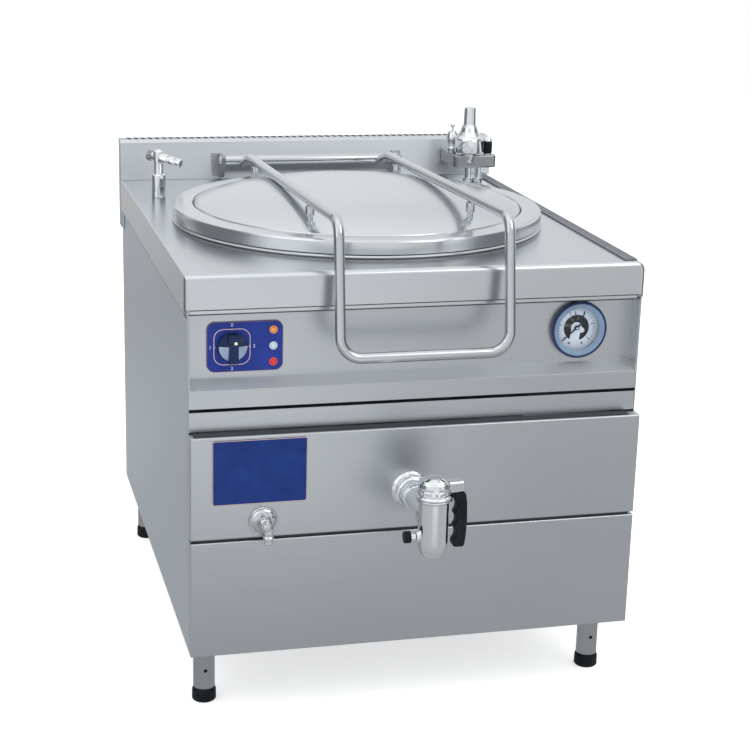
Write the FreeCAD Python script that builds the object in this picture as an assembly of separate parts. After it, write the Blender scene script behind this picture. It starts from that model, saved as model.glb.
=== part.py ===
import FreeCAD, Part
import math
import os
from FreeCAD import Vector

# Electric boiling pan on four legs: a jacketed round cooking vessel in a
# square steel housing, a hinged lid with a looped bar handle, a rear vent duct,
# a recessed control fascia, a draw-off tap and a level tap on the front.
# Drawn with y = 0 on the face of the apron; the finished pieces are moved so
# that the origin is the middle of the footprint box on the floor, front is -Y.

# Housing
WIDTH = 840.0
DEPTH = 980.0
WORKTOP_Z = 820.0
SHEET = 2.0
GAP = 0.3
APRON = 60.0
FLANGE = 67.0
TOP_BEND = 10.0
RIGHT_ROUND = 17.0
LEFT_BEND = 3.0
SIDE_INSET = 5.0
HOUSING_BOTTOM = 128.0
LIP_BACK = 8.0
LIP_DROP = 9.0

# Front panels
TRAY_PROUD = 28.0
TRAY_DOWN = 281.0
SPLIT_DOWN = 472.5
TRAY_GAP = 5.0
TRAY_BEND = 2.5
RAIL_LOW_DOWN = 278.0
RAIL_DOWN = 243.0
RAIL_DEPTH = 24.0
STRIP_LOW_DOWN = 237.0
STRIP_DOWN = 204.0
LEDGE_DOWN = 192.0
RECESS = 35.0

# Frame
TUBE = 30.0
TUBE_WALL = 2.0
POST_Y = 45.0
POST_BACK = 68.0
CROSS_SPREAD = 150.0
CROSS_BELOW = 48.0

# Legs and feet
LEG_R = 20.0
LEG_WALL = 1.5
LEG_EDGE = 43.0
LEG_FRONT_Y = 66.0
LEG_BACK = 78.0
FOOT_R = 22.5
FOOT_H = 27.0
LEG_HOLE_Z = 64.0
LEG_HOLE_R = 3.5
STEM_R = 8.0
STEM_UP = 60.0
PLUG_LOW = 22.0
PLUG_HIGH = 34.0

# Rear duct
BACK_INSET = 12.0
SPLASH_BACK = 53.0
SPLASH_TOP_BACK = 34.0
SPLASH_UP = 79.0
DUCT_UP = 86.0
CHEEK_DOWN = 106.0
CHEEK_BACK = 38.0
VENT_COUNT = 53
VENT_EDGE = 21.0
VENT_WIDE = 4.2
VENT_LONG = 13.0
VENT_LEAN = 28.0

# Vessel and jacket
PAN_X = -12.0
REAR_STRIP = 100.0
PAN_EDGE = 98.0
VESSEL_WALL = 3.0
VESSEL_DEEP = 418.0
VESSEL_DISH = 42.0
RIM_W = 41.0
RIM_H = 6.5
OPENING_PLAY = 5.0
TOP_UNDERLAP = 14.0
JACKET_SPACE = 22.0
JACKET_WALL = 3.0
JACKET_DOWN = 78.0
JACKET_BELOW = 64.0
JACKET_DISH = 16.0
PAD_R = 13.0
PAD_RING = 215.0
HEATER_BELOW = 22.0
HEATER_R = 27.0
ELEMENT_R = 4.2

# Services at the back
GLAND_R = 14.0
GLAND_EDGE = 120.0
GLAND_Z = 230.0
INLET_R = 10.5
INLET_Z = 300.0
INLET_END = 11.5
LOUVRE_ROWS = 6
LOUVRE_W = 90.0
LOUVRE_H = 5.0
LOUVRE_PITCH = 20.0
LOUVRE_DOWN = 260.0

# Lid
LID_INSET = 1.5
LID_CLEAR = 1.6
LID_H = 26.0
LID_SHEET = 1.5
LID_BEND = 4.0
GROOVE_INSET = 2.0
GROOVE_W = 5.0
GROOVE_D = 2.2
DOME = 33.0
DOME_POWER = 4
LINER_DROP = 14.0
SEAL_OUT = 23.0
SEAL_W = 12.0

# Lid handle and hinge
HANDLE_X = -6.0
HINGE_BACK = 90.0
HINGE_UP = 47.0
HINGE_TUBE_R = 11.0
HINGE_HALF = 193.0
HINGE_ROD_R = 6.0
RUN = 0.05
ARM_HALF = 153.0
ARM_R = 9.5
ARM_WALL = 2.0
ARM_REAR_UP = 66.0
ARM_FRONT_UP = 94.0
ARM_FRONT_Y = -24.0
LOOP_Y = -58.0
LOOP_DOWN = 141.0
LOOP_BEND = 38.0
KNEE_BEND = 34.0
REAR_BEND = 24.0
REAR_DROP = 6.0
BRACKET_W = 8.0
BRACKET_UP = 8.0
BAR_H = 14.0
POST_FRONT_IN = 126.5
POST_REAR_IN = 56.5
POST_R = 8.5
POST_FOOT_R = 6.0

# Draw-off tap
TAP_X = -20.0
TAP_UP = 21.5
TAP_REACH = 180.0
TAP_BODY_R = 26.5
TAP_BORE = 17.0
PIPE_R = 21.0
TAP_BOTTOM_DOWN = 66.5
COLLAR_UP = 32.5
COLLAR_R = 32.5
CAP_UP = 76.5
PLUG_R = 19.0
STEM_TAP_R = 7.0
GRIP_X = 41.5
GRIP_W = 22.0
GRIP_DOWN = 51.5
SCALLOP_R = 8.5
NIP_DOWN = 30.5
SIDE_NIP_R = 8.5
SIDE_CAP_R = 10.5
ESCUTCHEON_R = 34.0

# Level tap
LEVEL_EDGE = 134.0
LEVEL_BELOW = 21.0
LEVEL_ROSE_R = 26.5
LEVEL_BARREL_R = 9.0
LEVEL_PIPE_R = 5.0
LEVEL_REACH = 33.0
LEVEL_SPOUT_DOWN = 38.0

# Controls
PLATE_EDGE = 111.0
PLATE_DOWN = 136.0
PLATE_W = 135.0
PLATE_H = 90.0
PLATE_T = 2.4
PLATE_CORNER = 14.0
KNOB_EDGE = 88.0
KNOB_R = 26.0
KNOB_H = 20.0
LAMP_EDGE = 161.0
LAMP_PITCH = 29.0
LAMP_R = 7.5
LABEL_EDGE = 127.5
LABEL_DOWN = 346.5
LABEL_W = 169.0
LABEL_H = 119.0
LABEL_T = 1.2

# Pressure gauge
GAUGE_EDGE = 112.5
GAUGE_DOWN = 129.5
GAUGE_R = 53.0
GAUGE_DEPTH = 46.0
GAUGE_WALL = 2.5
GAUGE_PROUD = 12.0
GAUGE_NECK = 3.0
DIAL_BACK = 11.6
BEZEL_OPEN = 40.0
BEZEL_H = 8.0
NEEDLE_REST = -131.0

# Fill tap, rear left
FILL_EDGE = 54.0
FILL_BACK = 253.0
FILL_SLEEVE_R = 14.5
FILL_SLEEVE_H = 48.0
FILL_NECK_R = 9.5
FILL_UP = 82.0
FILL_BODY_R = 10.5
FILL_SPOUT = 54.0
FILL_AIM = -38.0
FILL_DIP = 0.15
FILL_BORE = 5.0
KEY_R = 3.0

# Valve group, rear right
MAN_EDGE = 98.0
MAN_BACK = 142.0
MAN_UP = 46.0
MAN_W = 13.0
MAN_H = 14.0
MAN_CORNER = 9.0
MAN_END_EDGE = 18.0
SEAT_H = 17.0
FUNNEL_EDGE = 80.0
FUNNEL_UP = 164.0
FUNNEL_R = 28.0
FUNNEL_BORE = 11.6
RISER_R = 8.0
RISER_GAP = 23.0
RELIEF_EDGE = 106.0
RELIEF_BACK = 100.0
KNOB_VALVE_EDGE = 36.0

HALF = WIDTH / 2.0
SIDE = HALF - SIDE_INSET
INNER = SIDE - SHEET
TOP_UNDER = WORKTOP_Z - SHEET
APRON_Z = WORKTOP_Z - APRON
TRAY_TOP = WORKTOP_Z - TRAY_DOWN
TRAY_SPLIT = WORKTOP_Z - SPLIT_DOWN
RAIL_BOTTOM = WORKTOP_Z - RAIL_LOW_DOWN
RAIL_TOP = WORKTOP_Z - RAIL_DOWN
STRIP_BOTTOM = WORKTOP_Z - STRIP_LOW_DOWN
STRIP_TOP = WORKTOP_Z - STRIP_DOWN
LEDGE_REAR = WORKTOP_Z - LEDGE_DOWN
SPLASH_TOP_Z = WORKTOP_Z + SPLASH_UP
DUCT_TOP = WORKTOP_Z + DUCT_UP
CHEEK_Z = WORKTOP_Z - CHEEK_DOWN
VESSEL_FLOOR = WORKTOP_Z - VESSEL_DEEP
JACKET_TOP = WORKTOP_Z - JACKET_DOWN
JACKET_FLOOR = VESSEL_FLOOR - JACKET_BELOW
HEATER_Z = VESSEL_FLOOR - HEATER_BELOW
CROSS_Z = JACKET_FLOOR - CROSS_BELOW
HINGE_Z = WORKTOP_Z + HINGE_UP
ARM_REAR_Z = WORKTOP_Z + ARM_REAR_UP
ARM_FRONT_Z = WORKTOP_Z + ARM_FRONT_UP
LOOP_Z = WORKTOP_Z - LOOP_DOWN
BRACKET_LOW = WORKTOP_Z + BRACKET_UP
TAP_Z = VESSEL_FLOOR + TAP_UP
TAP_BOTTOM = TAP_Z - TAP_BOTTOM_DOWN
TAP_COLLAR = TAP_Z + COLLAR_UP
CAP_TOP = TAP_Z + CAP_UP
GRIP_BOTTOM = TAP_Z - GRIP_DOWN
SIDE_NIP_Z = TAP_Z - NIP_DOWN
LEVEL_Z = VESSEL_FLOOR - LEVEL_BELOW
LEVEL_SPOUT_LOW = LEVEL_Z - LEVEL_SPOUT_DOWN
PLATE_Z = WORKTOP_Z - PLATE_DOWN
LABEL_Z = WORKTOP_Z - LABEL_DOWN
GAUGE_Z = WORKTOP_Z - GAUGE_DOWN
FILL_Z = WORKTOP_Z + FILL_UP
MAN_Z = WORKTOP_Z + MAN_UP
FUNNEL_TOP = WORKTOP_Z + FUNNEL_UP
LOUVRE_LOW = WORKTOP_Z - LOUVRE_DOWN
LEG_X = HALF - LEG_EDGE
LEG_REAR_Y = DEPTH - LEG_BACK
REAR_POST_Y = DEPTH - POST_BACK
SPLASH_Y = DEPTH - SPLASH_BACK
SPLASH_TOP_Y = DEPTH - SPLASH_TOP_BACK
CHEEK_Y = DEPTH - CHEEK_BACK
PAN_Y = (DEPTH - REAR_STRIP) / 2.0
VESSEL_R = HALF - PAN_EDGE
RIM_R = VESSEL_R + RIM_W
JACKET_R = VESSEL_R + JACKET_SPACE
LID_R = RIM_R - LID_INSET
GROOVE_R = VESSEL_R - GROOVE_INSET
SEAL_R = VESSEL_R + SEAL_OUT
GLAND_X = GLAND_EDGE - HALF
HINGE_Y = DEPTH - HINGE_BACK
PEAK_Y = PAN_Y + LID_R
POST_FRONT_Y = PAN_Y - LID_R + POST_FRONT_IN
POST_REAR_Y = PAN_Y + LID_R - POST_REAR_IN
LEVEL_X = LEVEL_EDGE - HALF
PLATE_X = PLATE_EDGE - HALF
KNOB_X = KNOB_EDGE - HALF
LAMP_X = LAMP_EDGE - HALF
LABEL_X = LABEL_EDGE - HALF
GAUGE_X = HALF - GAUGE_EDGE
GAUGE_FRONT = RECESS - GAP - GAUGE_PROUD
GAUGE_SHOULDER = GAUGE_FRONT + BEZEL_H
DIAL_Y = GAUGE_SHOULDER + DIAL_BACK
FILL_X = FILL_EDGE - HALF
FILL_Y = DEPTH - FILL_BACK
MAN_X = HALF - MAN_EDGE
MAN_Y = DEPTH - MAN_BACK
MAN_END = HALF - MAN_END_EDGE
SEAT_Z = MAN_Z + SEAT_H
FUNNEL_X = HALF - FUNNEL_EDGE
RELIEF_X = HALF - RELIEF_EDGE
RELIEF_Y = DEPTH - RELIEF_BACK
KNOB_VALVE_X = HALF - KNOB_VALVE_EDGE
PAN_OUT = VESSEL_R + VESSEL_WALL
RIM_Z = WORKTOP_Z + GAP
RIM_TOP = RIM_Z + RIM_H
SKIRT_Z = RIM_TOP + LID_CLEAR
LID_TOP = SKIRT_Z + LID_H
PANEL_FACE = -TRAY_PROUD
RECESS_BACK = RECESS + SHEET
PLATE_FACE = RECESS - GAP - PLATE_T
TAP_Y = -TAP_REACH
BACK_Y = DEPTH - BACK_INSET
SPLASH_LEAN = (SPLASH_TOP_Y - SPLASH_Y) / (SPLASH_TOP_Z - WORKTOP_Z)
FRONT_REACH = TAP_Y - COLLAR_R
MIDDLE_Y = (FRONT_REACH + DEPTH) / 2.0
X = Vector(1, 0, 0)
Y = Vector(0, 1, 0)
Z = Vector(0, 0, 1)


def save(name, shape):
    placed = shape.copy()
    placed.translate(Vector(0, -MIDDLE_Y, 0))
    placed.exportStep("parts/%s.step" % name)


def block(x0, x1, y0, y1, z0, z1):
    return Part.makeBox(x1 - x0, y1 - y0, z1 - z0, Vector(x0, y0, z0))


def rod(start, end, r):
    axis = end.sub(start)
    return Part.makeCylinder(r, axis.Length, start, axis)


def turned(points, centre, axis):
    """Solid of revolution from (radius, height) pairs along the axis."""
    side = X if abs(axis.dot(X)) < 0.5 else Z
    corners = [centre + side * r + axis * h for r, h in points]
    face = Part.Face(Part.makePolygon(corners + [corners[0]]))
    return face.revolve(centre, axis, 360)


def profile_x(points, x0, x1):
    """Prism along X from (y, z) corners."""
    corners = [Vector(x0, y, z) for y, z in points]
    return Part.Face(Part.makePolygon(corners + [corners[0]])).extrude(Vector(x1 - x0, 0, 0))


def union(shapes):
    first = shapes[0]
    if len(shapes) == 1:
        return first
    return first.fuse(shapes[1:]).removeSplitter()


def bent_path(points, bend):
    """Wire of straight runs joined by tangent arcs of the given radii."""
    edges = []
    last = points[0]
    for i in range(1, len(points) - 1):
        p = points[i]
        back = points[i - 1].sub(p)
        ahead = points[i + 1].sub(p)
        back.normalize()
        ahead.normalize()
        half = math.acos(max(-1.0, min(1.0, back.dot(ahead)))) / 2.0
        cut = bend[i - 1] / math.tan(half)
        a = p + back * cut
        b = p + ahead * cut
        inward = back + ahead
        inward.normalize()
        centre = p + inward * (bend[i - 1] / math.sin(half))
        mid = centre - inward * bend[i - 1]
        edges.append(Part.makeLine(last, a))
        edges.append(Part.Arc(a, mid, b).toShape())
        last = b
    edges.append(Part.makeLine(last, points[-1]))
    return Part.Wire(edges)


def swept(points, bend, r):
    wire = bent_path(points, bend)
    ring = Part.Wire(Part.makeCircle(r, points[0], points[1].sub(points[0])))
    return wire.makePipeShell([ring], True, False)


def rounded_plate(cx, cz, w, h, y0, y1, corner):
    body = block(cx - w / 2, cx + w / 2, y0, y1, cz - h / 2, cz + h / 2)
    posts = [e for e in body.Edges if abs(e.tangentAt(e.FirstParameter).dot(Y)) > 0.9]
    return body.makeFillet(corner, posts)


def bend_relief():
    """Prisms along both top edges that clear the inside of the worktop's side bends."""
    run = RIGHT_ROUND + 1.0
    both = []
    for sx in (-1, 1):
        corners = [Vector(sx * (HALF - run), -1, WORKTOP_Z), Vector(sx * HALF, -1, WORKTOP_Z),
                   Vector(sx * HALF, -1, WORKTOP_Z - run)]
        both.append(Part.Face(Part.makePolygon(corners + [corners[0]])).extrude(Y * DEPTH))
    return Part.makeCompound(both)


def base_frame():
    """Welded tube frame with four posts, top ring, vessel rails and leg sockets."""
    outer = INNER - GAP
    inner = outer - TUBE
    back = REAR_POST_Y + TUBE
    low = HOUSING_BOTTOM + SHEET + GAP
    top = TOP_UNDER - GAP

    def members(g):
        parts = []
        for sx in (-1, 1):
            a = min(sx * inner, sx * outer) + g
            b = max(sx * inner, sx * outer) - g
            for z0 in (low, top - TUBE):
                parts.append(block(a, b, POST_Y + g, back - g, z0 + g, z0 + TUBE - g))
            for y0 in (POST_Y, REAR_POST_Y):
                parts.append(block(a, b, y0 + g, y0 + TUBE - g, low + g, top - g))
        for y0 in (POST_Y, REAR_POST_Y):
            for z0 in (low, top - TUBE):
                parts.append(block(-outer + g, outer - g, y0 + g, y0 + TUBE - g,
                                   z0 + g, z0 + TUBE - g))
        for s in (-1, 1):
            y0 = PAN_Y + s * CROSS_SPREAD - TUBE / 2
            parts.append(block(-outer + g, outer - g, y0 + g, y0 + TUBE - g,
                               CROSS_Z + g, CROSS_Z + TUBE - g))
            for sx in (-1, 1):
                a = min(sx * inner, sx * outer) + g
                b = max(sx * inner, sx * outer) - g
                parts.append(block(a, b, y0 + g, y0 + TUBE - g, low + g, CROSS_Z + TUBE - g))
        return parts

    body = union(members(0)).cut(union(members(TUBE_WALL))).cut(bend_relief())
    socket = LEG_R + 3.0
    for sx in (-1, 1):
        for y in (LEG_FRONT_Y, LEG_REAR_Y):
            centre = Vector(sx * LEG_X, y, low)
            foot = Part.makeCylinder(socket, TUBE + 12.0, centre)
            web = block(sx * LEG_X - 26, sx * LEG_X + 26, y - 26, y + 26, low, low + 4.0)
            body = body.fuse([foot, web]).removeSplitter()
            body = body.cut(Part.makeCylinder(LEG_R + GAP, TUBE + 8.0, centre - Z * 0.1))
    return body


def side_panel(s):
    """Folded side sheet with a front return behind the trays and a bottom return."""
    back = BACK_Y
    top = APRON_Z + 34.0
    sheet = block(INNER, SIDE, 0, back, HOUSING_BOTTOM, top)
    front = block(INNER - 18.0, SIDE, 0, SHEET, HOUSING_BOTTOM, RAIL_BOTTOM - 6.0)
    foot = block(INNER - 18.0, SIDE, 0, back, HOUSING_BOTTOM, HOUSING_BOTTOM + SHEET)
    rear = block(INNER - 14.0, SIDE, back - SHEET, back, HOUSING_BOTTOM, CHEEK_Z - 4.0)
    body = union([sheet, front, foot, rear])
    corner = [e for e in body.Edges if e.BoundBox.XMin > SIDE - 0.01 and e.BoundBox.YMax < 0.01
              and e.Length > 50]
    if corner:
        body = body.makeFillet(SHEET * 0.7, corner)
    body = body.cut(block(INNER - 1, SIDE + 1, -1, SHEET * 3, APRON_Z - SHEET * 2, top + 1))
    for y in (LEG_FRONT_Y, LEG_REAR_Y):
        body = body.cut(Part.makeCylinder(LEG_R + 1.5, 20, Vector(LEG_X, y, HOUSING_BOTTOM - 5)))
    if s < 0:
        body = body.mirror(Vector(0, 0, 0), X)
    return body


def rear_panel():
    """Back sheet between the side panels, with louvre slots and the service holes."""
    y1 = BACK_Y - SHEET - GAP
    body = block(-INNER + GAP, INNER - GAP, y1 - SHEET, y1, HOUSING_BOTTOM + SHEET + GAP,
                 CHEEK_Z - 4.0)
    cuts = []
    for row in range(LOUVRE_ROWS):
        z = LOUVRE_LOW + row * LOUVRE_PITCH
        for col in (-1, 0, 1):
            x = col * LOUVRE_W * 1.6
            cuts.append(block(x - LOUVRE_W / 2, x + LOUVRE_W / 2, y1 - 5, y1 + 5, z, z + LOUVRE_H))
    for x, z, r in ((GLAND_X, GLAND_Z, GLAND_R), (FILL_X, INLET_Z, INLET_R + GAP)):
        cuts.append(rod(Vector(x, y1 - 5, z), Vector(x, y1 + 5, z), r))
    return body.cut(Part.makeCompound(cuts))


def pressed_top(t, back):
    """Outer or inner form of the worktop: rounded front nose and side bends."""
    body = block(-HALF + t, HALF - t, t, SPLASH_Y + TOP_UNDERLAP + back, WORKTOP_Z - FLANGE - back,
                 WORKTOP_Z - t)

    def top_edges(test):
        return [e for e in body.Edges if e.BoundBox.ZMin > WORKTOP_Z - RIGHT_ROUND - 0.5
                and test(e.BoundBox)]
    body = body.makeFillet(RIGHT_ROUND - t, top_edges(lambda b: b.XMin > HALF - t - 0.01
                                                      and b.ZMin > WORKTOP_Z - t - 0.01))
    body = body.makeFillet(LEFT_BEND - t, top_edges(lambda b: b.XMax < -HALF + t + 0.01
                                                    and b.ZMin > WORKTOP_Z - t - 0.01))
    return body.makeFillet(TOP_BEND - t, top_edges(lambda b: b.YMax < t + 0.01
                                                   and b.DiagonalLength > LEFT_BEND * 2))


def worktop():
    """Pressed top with bullnosed apron, side flanges, lip and the big round opening."""
    low = WORKTOP_Z - FLANGE
    body = pressed_top(0, 0).cut(pressed_top(SHEET, 5))
    mitre = profile_x([(-1, low - 1), (SHEET + 6, low - 1), (SHEET + 0.4, APRON_Z), (-1, APRON_Z)],
                      -HALF - 1, HALF + 1)
    ends = SIDE - 6.0
    lip = union([block(-ends, ends, SHEET / 2, LIP_BACK + SHEET, APRON_Z, APRON_Z + SHEET),
                 block(-ends, ends, LIP_BACK, LIP_BACK + SHEET, APRON_Z - LIP_DROP,
                       APRON_Z + SHEET)])
    body = union([body.cut(mitre), lip])
    cuts = [Part.makeCylinder(PAN_OUT + OPENING_PLAY, 20, Vector(PAN_X, PAN_Y, WORKTOP_Z - 10)),
            Part.makeCylinder(FILL_NECK_R + GAP, 20, Vector(FILL_X, FILL_Y, WORKTOP_Z - 10))]
    for i in (0, 1):
        cuts.append(Part.makeCylinder(RISER_R + GAP, 20,
                                      Vector(FUNNEL_X + i * RISER_GAP, MAN_Y, WORKTOP_Z - 10)))
    return body.cut(Part.makeCompound(cuts))


def joint_strip():
    """Raised joint profile that runs along the right edge of the worktop."""
    t = 3.2
    y0 = TOP_BEND + 3.0
    x1 = HALF - RIGHT_ROUND + 3.0
    z = WORKTOP_Z + GAP
    body = block(x1 - 22.0, x1, y0, SPLASH_Y - GAP, z, z + t)
    body = body.makeFillet(1.4, [e for e in body.Edges if e.BoundBox.ZMin > z + t - 0.01])
    for dx in (6.0, 13.0):
        body = body.cut(block(x1 - 22 + dx, x1 - 22 + dx + 2.2, y0 - 1, SPLASH_Y, z + t - 1.2,
                              z + t + 1))
    return body


def duct_outline(t):
    """Corners of the duct's section, moved in by t; open below when t is set."""
    z0 = WORKTOP_Z + GAP
    open_below = 1.0 if t else 0.0
    return [(SPLASH_Y + t, z0 - open_below), (SPLASH_TOP_Y + t, SPLASH_TOP_Z - t * 0.5),
            (SPLASH_TOP_Y + 5 + t * 0.5, DUCT_TOP - 1 - t), (DEPTH - t, DUCT_TOP - t),
            (DEPTH - t, CHEEK_Z - open_below), (CHEEK_Y + t, CHEEK_Z - open_below),
            (CHEEK_Y + t, z0 - open_below)]


def splash_duct():
    """Rear upstand with sloping face and a slotted top that vents the housing."""
    body = profile_x(duct_outline(0), -HALF, HALF)
    body = body.cut(profile_x(duct_outline(SHEET), -HALF + SHEET, HALF - SHEET))
    body = body.cut(block(-HALF + SHEET, HALF - SHEET, CHEEK_Y - 1, CHEEK_Y + SHEET + 1,
                          CHEEK_Z - 2, WORKTOP_Z - SHEET))
    pitch = (WIDTH - 2 * VENT_EDGE) / (VENT_COUNT - 1)
    y = (SPLASH_TOP_Y + 8 + DEPTH) / 2.0
    slots = []
    for i in range(VENT_COUNT):
        slot = block(-VENT_WIDE / 2, VENT_WIDE / 2, -VENT_LONG / 2, VENT_LONG / 2,
                     DUCT_TOP - 2 * SHEET, DUCT_TOP + SHEET)
        slot.rotate(Vector(0, 0, 0), Z, VENT_LEAN)
        slot.translate(Vector(-HALF + VENT_EDGE + i * pitch, y, 0))
        slots.append(slot)
    return body.cut(Part.makeCompound(slots))


def fascia_panel():
    """Recess back, drip ledge and upper strip folded from one sheet, with end walls."""
    t = SHEET
    top = TOP_UNDER - GAP
    x = INNER - GAP
    fold = [(RECESS, top), (RECESS, LEDGE_REAR), (0, STRIP_TOP), (0, STRIP_BOTTOM),
            (14, STRIP_BOTTOM), (14, STRIP_BOTTOM + t), (t, STRIP_BOTTOM + t),
            (t, STRIP_TOP - t * 1.3), (RECESS + t, LEDGE_REAR - t * 1.3), (RECESS + t, top)]
    body = profile_x(fold, -x, x)
    ends = [(t, APRON_Z - LIP_DROP - GAP), (t - 2, APRON_Z - LIP_DROP - GAP), (0, STRIP_TOP),
            (RECESS, LEDGE_REAR), (RECESS, APRON_Z - LIP_DROP - GAP)]
    body = union([body, profile_x(ends, -x, -x + t), profile_x(ends, x - t, x)])
    holes = [rod(Vector(KNOB_X, 0, PLATE_Z), Vector(KNOB_X, 60, PLATE_Z), 5.0),
             rod(Vector(GAUGE_X, 20, GAUGE_Z), Vector(GAUGE_X, 60, GAUGE_Z),
                 GAUGE_R - GAUGE_NECK + GAP)]
    for i in (-1, 0, 1):
        z = PLATE_Z + i * LAMP_PITCH
        holes.append(rod(Vector(LAMP_X, 20, z), Vector(LAMP_X, 60, z), 5.5))
    return body.cut(Part.makeCompound(holes)).cut(bend_relief())


def lower_rail():
    """Channel strip between the fascia and the upper front panel."""
    t = SHEET
    x = INNER - GAP
    channel = [(0, RAIL_TOP), (0, RAIL_BOTTOM), (RAIL_DEPTH, RAIL_BOTTOM),
               (RAIL_DEPTH, RAIL_BOTTOM + t), (t, RAIL_BOTTOM + t), (t, RAIL_TOP - t),
               (RAIL_DEPTH, RAIL_TOP - t), (RAIL_DEPTH, RAIL_TOP)]
    return profile_x(channel, -x, x)


def tray(z0, z1):
    """Front panel pressed as a shallow tray, open at the back."""
    body = block(-SIDE, SIDE, PANEL_FACE, -GAP, z0, z1)
    front = [e for e in body.Edges if e.BoundBox.YMax < PANEL_FACE + 0.01]
    body = body.makeFillet(TRAY_BEND, front)
    return body.cut(block(-SIDE + SHEET, SIDE - SHEET, PANEL_FACE + SHEET, 1, z0 + SHEET,
                          z1 - SHEET))


def upper_front_panel():
    body = tray(TRAY_SPLIT + TRAY_GAP / 2, TRAY_TOP)
    holes = [rod(Vector(TAP_X, PANEL_FACE - 5, TAP_Z), Vector(TAP_X, 5, TAP_Z), PIPE_R + 3.0),
             rod(Vector(LEVEL_X, PANEL_FACE - 5, LEVEL_Z), Vector(LEVEL_X, 5, LEVEL_Z),
                 LEVEL_BARREL_R + 1.5)]
    return body.cut(Part.makeCompound(holes))


def lower_front_panel():
    return tray(HOUSING_BOTTOM, TRAY_SPLIT - TRAY_GAP / 2)


def label_plate():
    return rounded_plate(LABEL_X, LABEL_Z, LABEL_W, LABEL_H, PANEL_FACE - GAP - LABEL_T,
                         PANEL_FACE - GAP, 6.0)


def leg(x, y):
    """Round tube leg with a threaded plug for the foot and a blind cross hole."""
    low = FOOT_H + GAP
    top = HOUSING_BOTTOM + SHEET + TUBE
    body = Part.makeCylinder(LEG_R, top - low, Vector(x, y, low))
    inside = LEG_R - LEG_WALL
    cuts = [Part.makeCylinder(inside, PLUG_LOW, Vector(x, y, low - 1)),
            Part.makeCylinder(inside, top - FOOT_H - PLUG_HIGH + 1, Vector(x, y, FOOT_H + PLUG_HIGH)),
            Part.makeCylinder(STEM_R + RUN, top - low, Vector(x, y, low)),
            rod(Vector(x, y - LEG_R - 2, LEG_HOLE_Z), Vector(x, y - LEG_R + 4, LEG_HOLE_Z),
                LEG_HOLE_R)]
    return body.cut(Part.makeCompound(cuts))


def foot(x, y):
    """Black screw-in foot: flared pad below and threaded stem up inside the leg."""
    stem_top = FOOT_H + STEM_UP
    pad = [(0, 0), (FOOT_R - 3, 0), (FOOT_R, 3), (FOOT_R, FOOT_H - 5), (FOOT_R - 2, FOOT_H),
           (STEM_R, FOOT_H), (STEM_R, stem_top - 2), (STEM_R - 1.5, stem_top), (0, stem_top)]
    return turned(pad, Vector(x, y, 0), Z)


def bowl(r, straight_top, floor, dish):
    """Solid of revolution with a straight wall and a shallow dished bottom."""
    knuckle = floor + dish
    steps = 7
    points = [(0, straight_top), (r, straight_top)]
    for i in range(steps):
        a = math.radians(90.0 * i / steps)
        points.append((r * math.cos(a), knuckle - dish * math.sin(a)))
    points.append((0, floor))
    return turned(points, Vector(PAN_X, PAN_Y, 0), Z)


def pan_shell(r, top, floor, dish, wall):
    """Open pan of even wall with the given inside."""
    return bowl(r + wall, top, floor - wall, dish).cut(bowl(r, top + 1, floor, dish))


def pan_cylinder(r):
    """Tall cylinder round the vessel axis, for trimming what meets a curved wall."""
    return Part.makeCylinder(r, WORKTOP_Z, Vector(PAN_X, PAN_Y, 0))


def cooking_vessel():
    """Seamless boiling vessel with a rolled rim that lies on the worktop."""
    top = RIM_Z
    roll = 3.0
    rim = [(VESSEL_R, top), (RIM_R - roll, top), (RIM_R, top + roll),
           (RIM_R, top + RIM_H - roll), (RIM_R - roll, top + RIM_H),
           (VESSEL_R + roll, top + RIM_H), (VESSEL_R, top + RIM_H - roll)]
    body = union([pan_shell(VESSEL_R, top, VESSEL_FLOOR, VESSEL_DISH, VESSEL_WALL),
                  turned(rim, Vector(PAN_X, PAN_Y, 0), Z)])
    return body.cut(rod(Vector(TAP_X, 0, TAP_Z), Vector(TAP_X, PAN_Y / 2, TAP_Z), TAP_BORE))


def steam_jacket():
    """Outer shell welded round the vessel, with heater collar and four pads."""
    low = CROSS_Z + TUBE + GAP
    wall_y = PAN_Y + JACKET_R + JACKET_WALL
    ring = [(PAN_OUT + GAP, JACKET_TOP - JACKET_WALL), (JACKET_R + 1, JACKET_TOP - JACKET_WALL),
            (JACKET_R + 1, JACKET_TOP), (PAN_OUT + GAP, JACKET_TOP)]
    parts = [bowl(JACKET_R + JACKET_WALL, JACKET_TOP, JACKET_FLOOR - JACKET_WALL, JACKET_DISH),
             rod(Vector(PAN_X, wall_y - 30, HEATER_Z), Vector(PAN_X, wall_y + 10, HEATER_Z),
                 HEATER_R + JACKET_WALL)]
    for sx in (-1, 1):
        for s in (-1, 1):
            parts.append(Part.makeCylinder(PAD_R, JACKET_FLOOR + JACKET_DISH - low,
                                           Vector(PAN_X + sx * PAD_RING, PAN_Y + s * CROSS_SPREAD,
                                                  low)))
    body = union(parts).cut(bowl(JACKET_R, JACKET_TOP + 1, JACKET_FLOOR, JACKET_DISH))
    body = union([body, turned(ring, Vector(PAN_X, PAN_Y, 0), Z)])
    holes = [rod(Vector(TAP_X, 0, TAP_Z), Vector(TAP_X, PAN_Y / 2, TAP_Z), PIPE_R + GAP),
             rod(Vector(LEVEL_X, 0, LEVEL_Z), Vector(LEVEL_X, PAN_Y, LEVEL_Z), LEVEL_PIPE_R),
             rod(Vector(PAN_X, PAN_Y + JACKET_R * 0.85, HEATER_Z), Vector(PAN_X, DEPTH, HEATER_Z), HEATER_R)]
    return body.cut(Part.makeCompound(holes))


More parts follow.
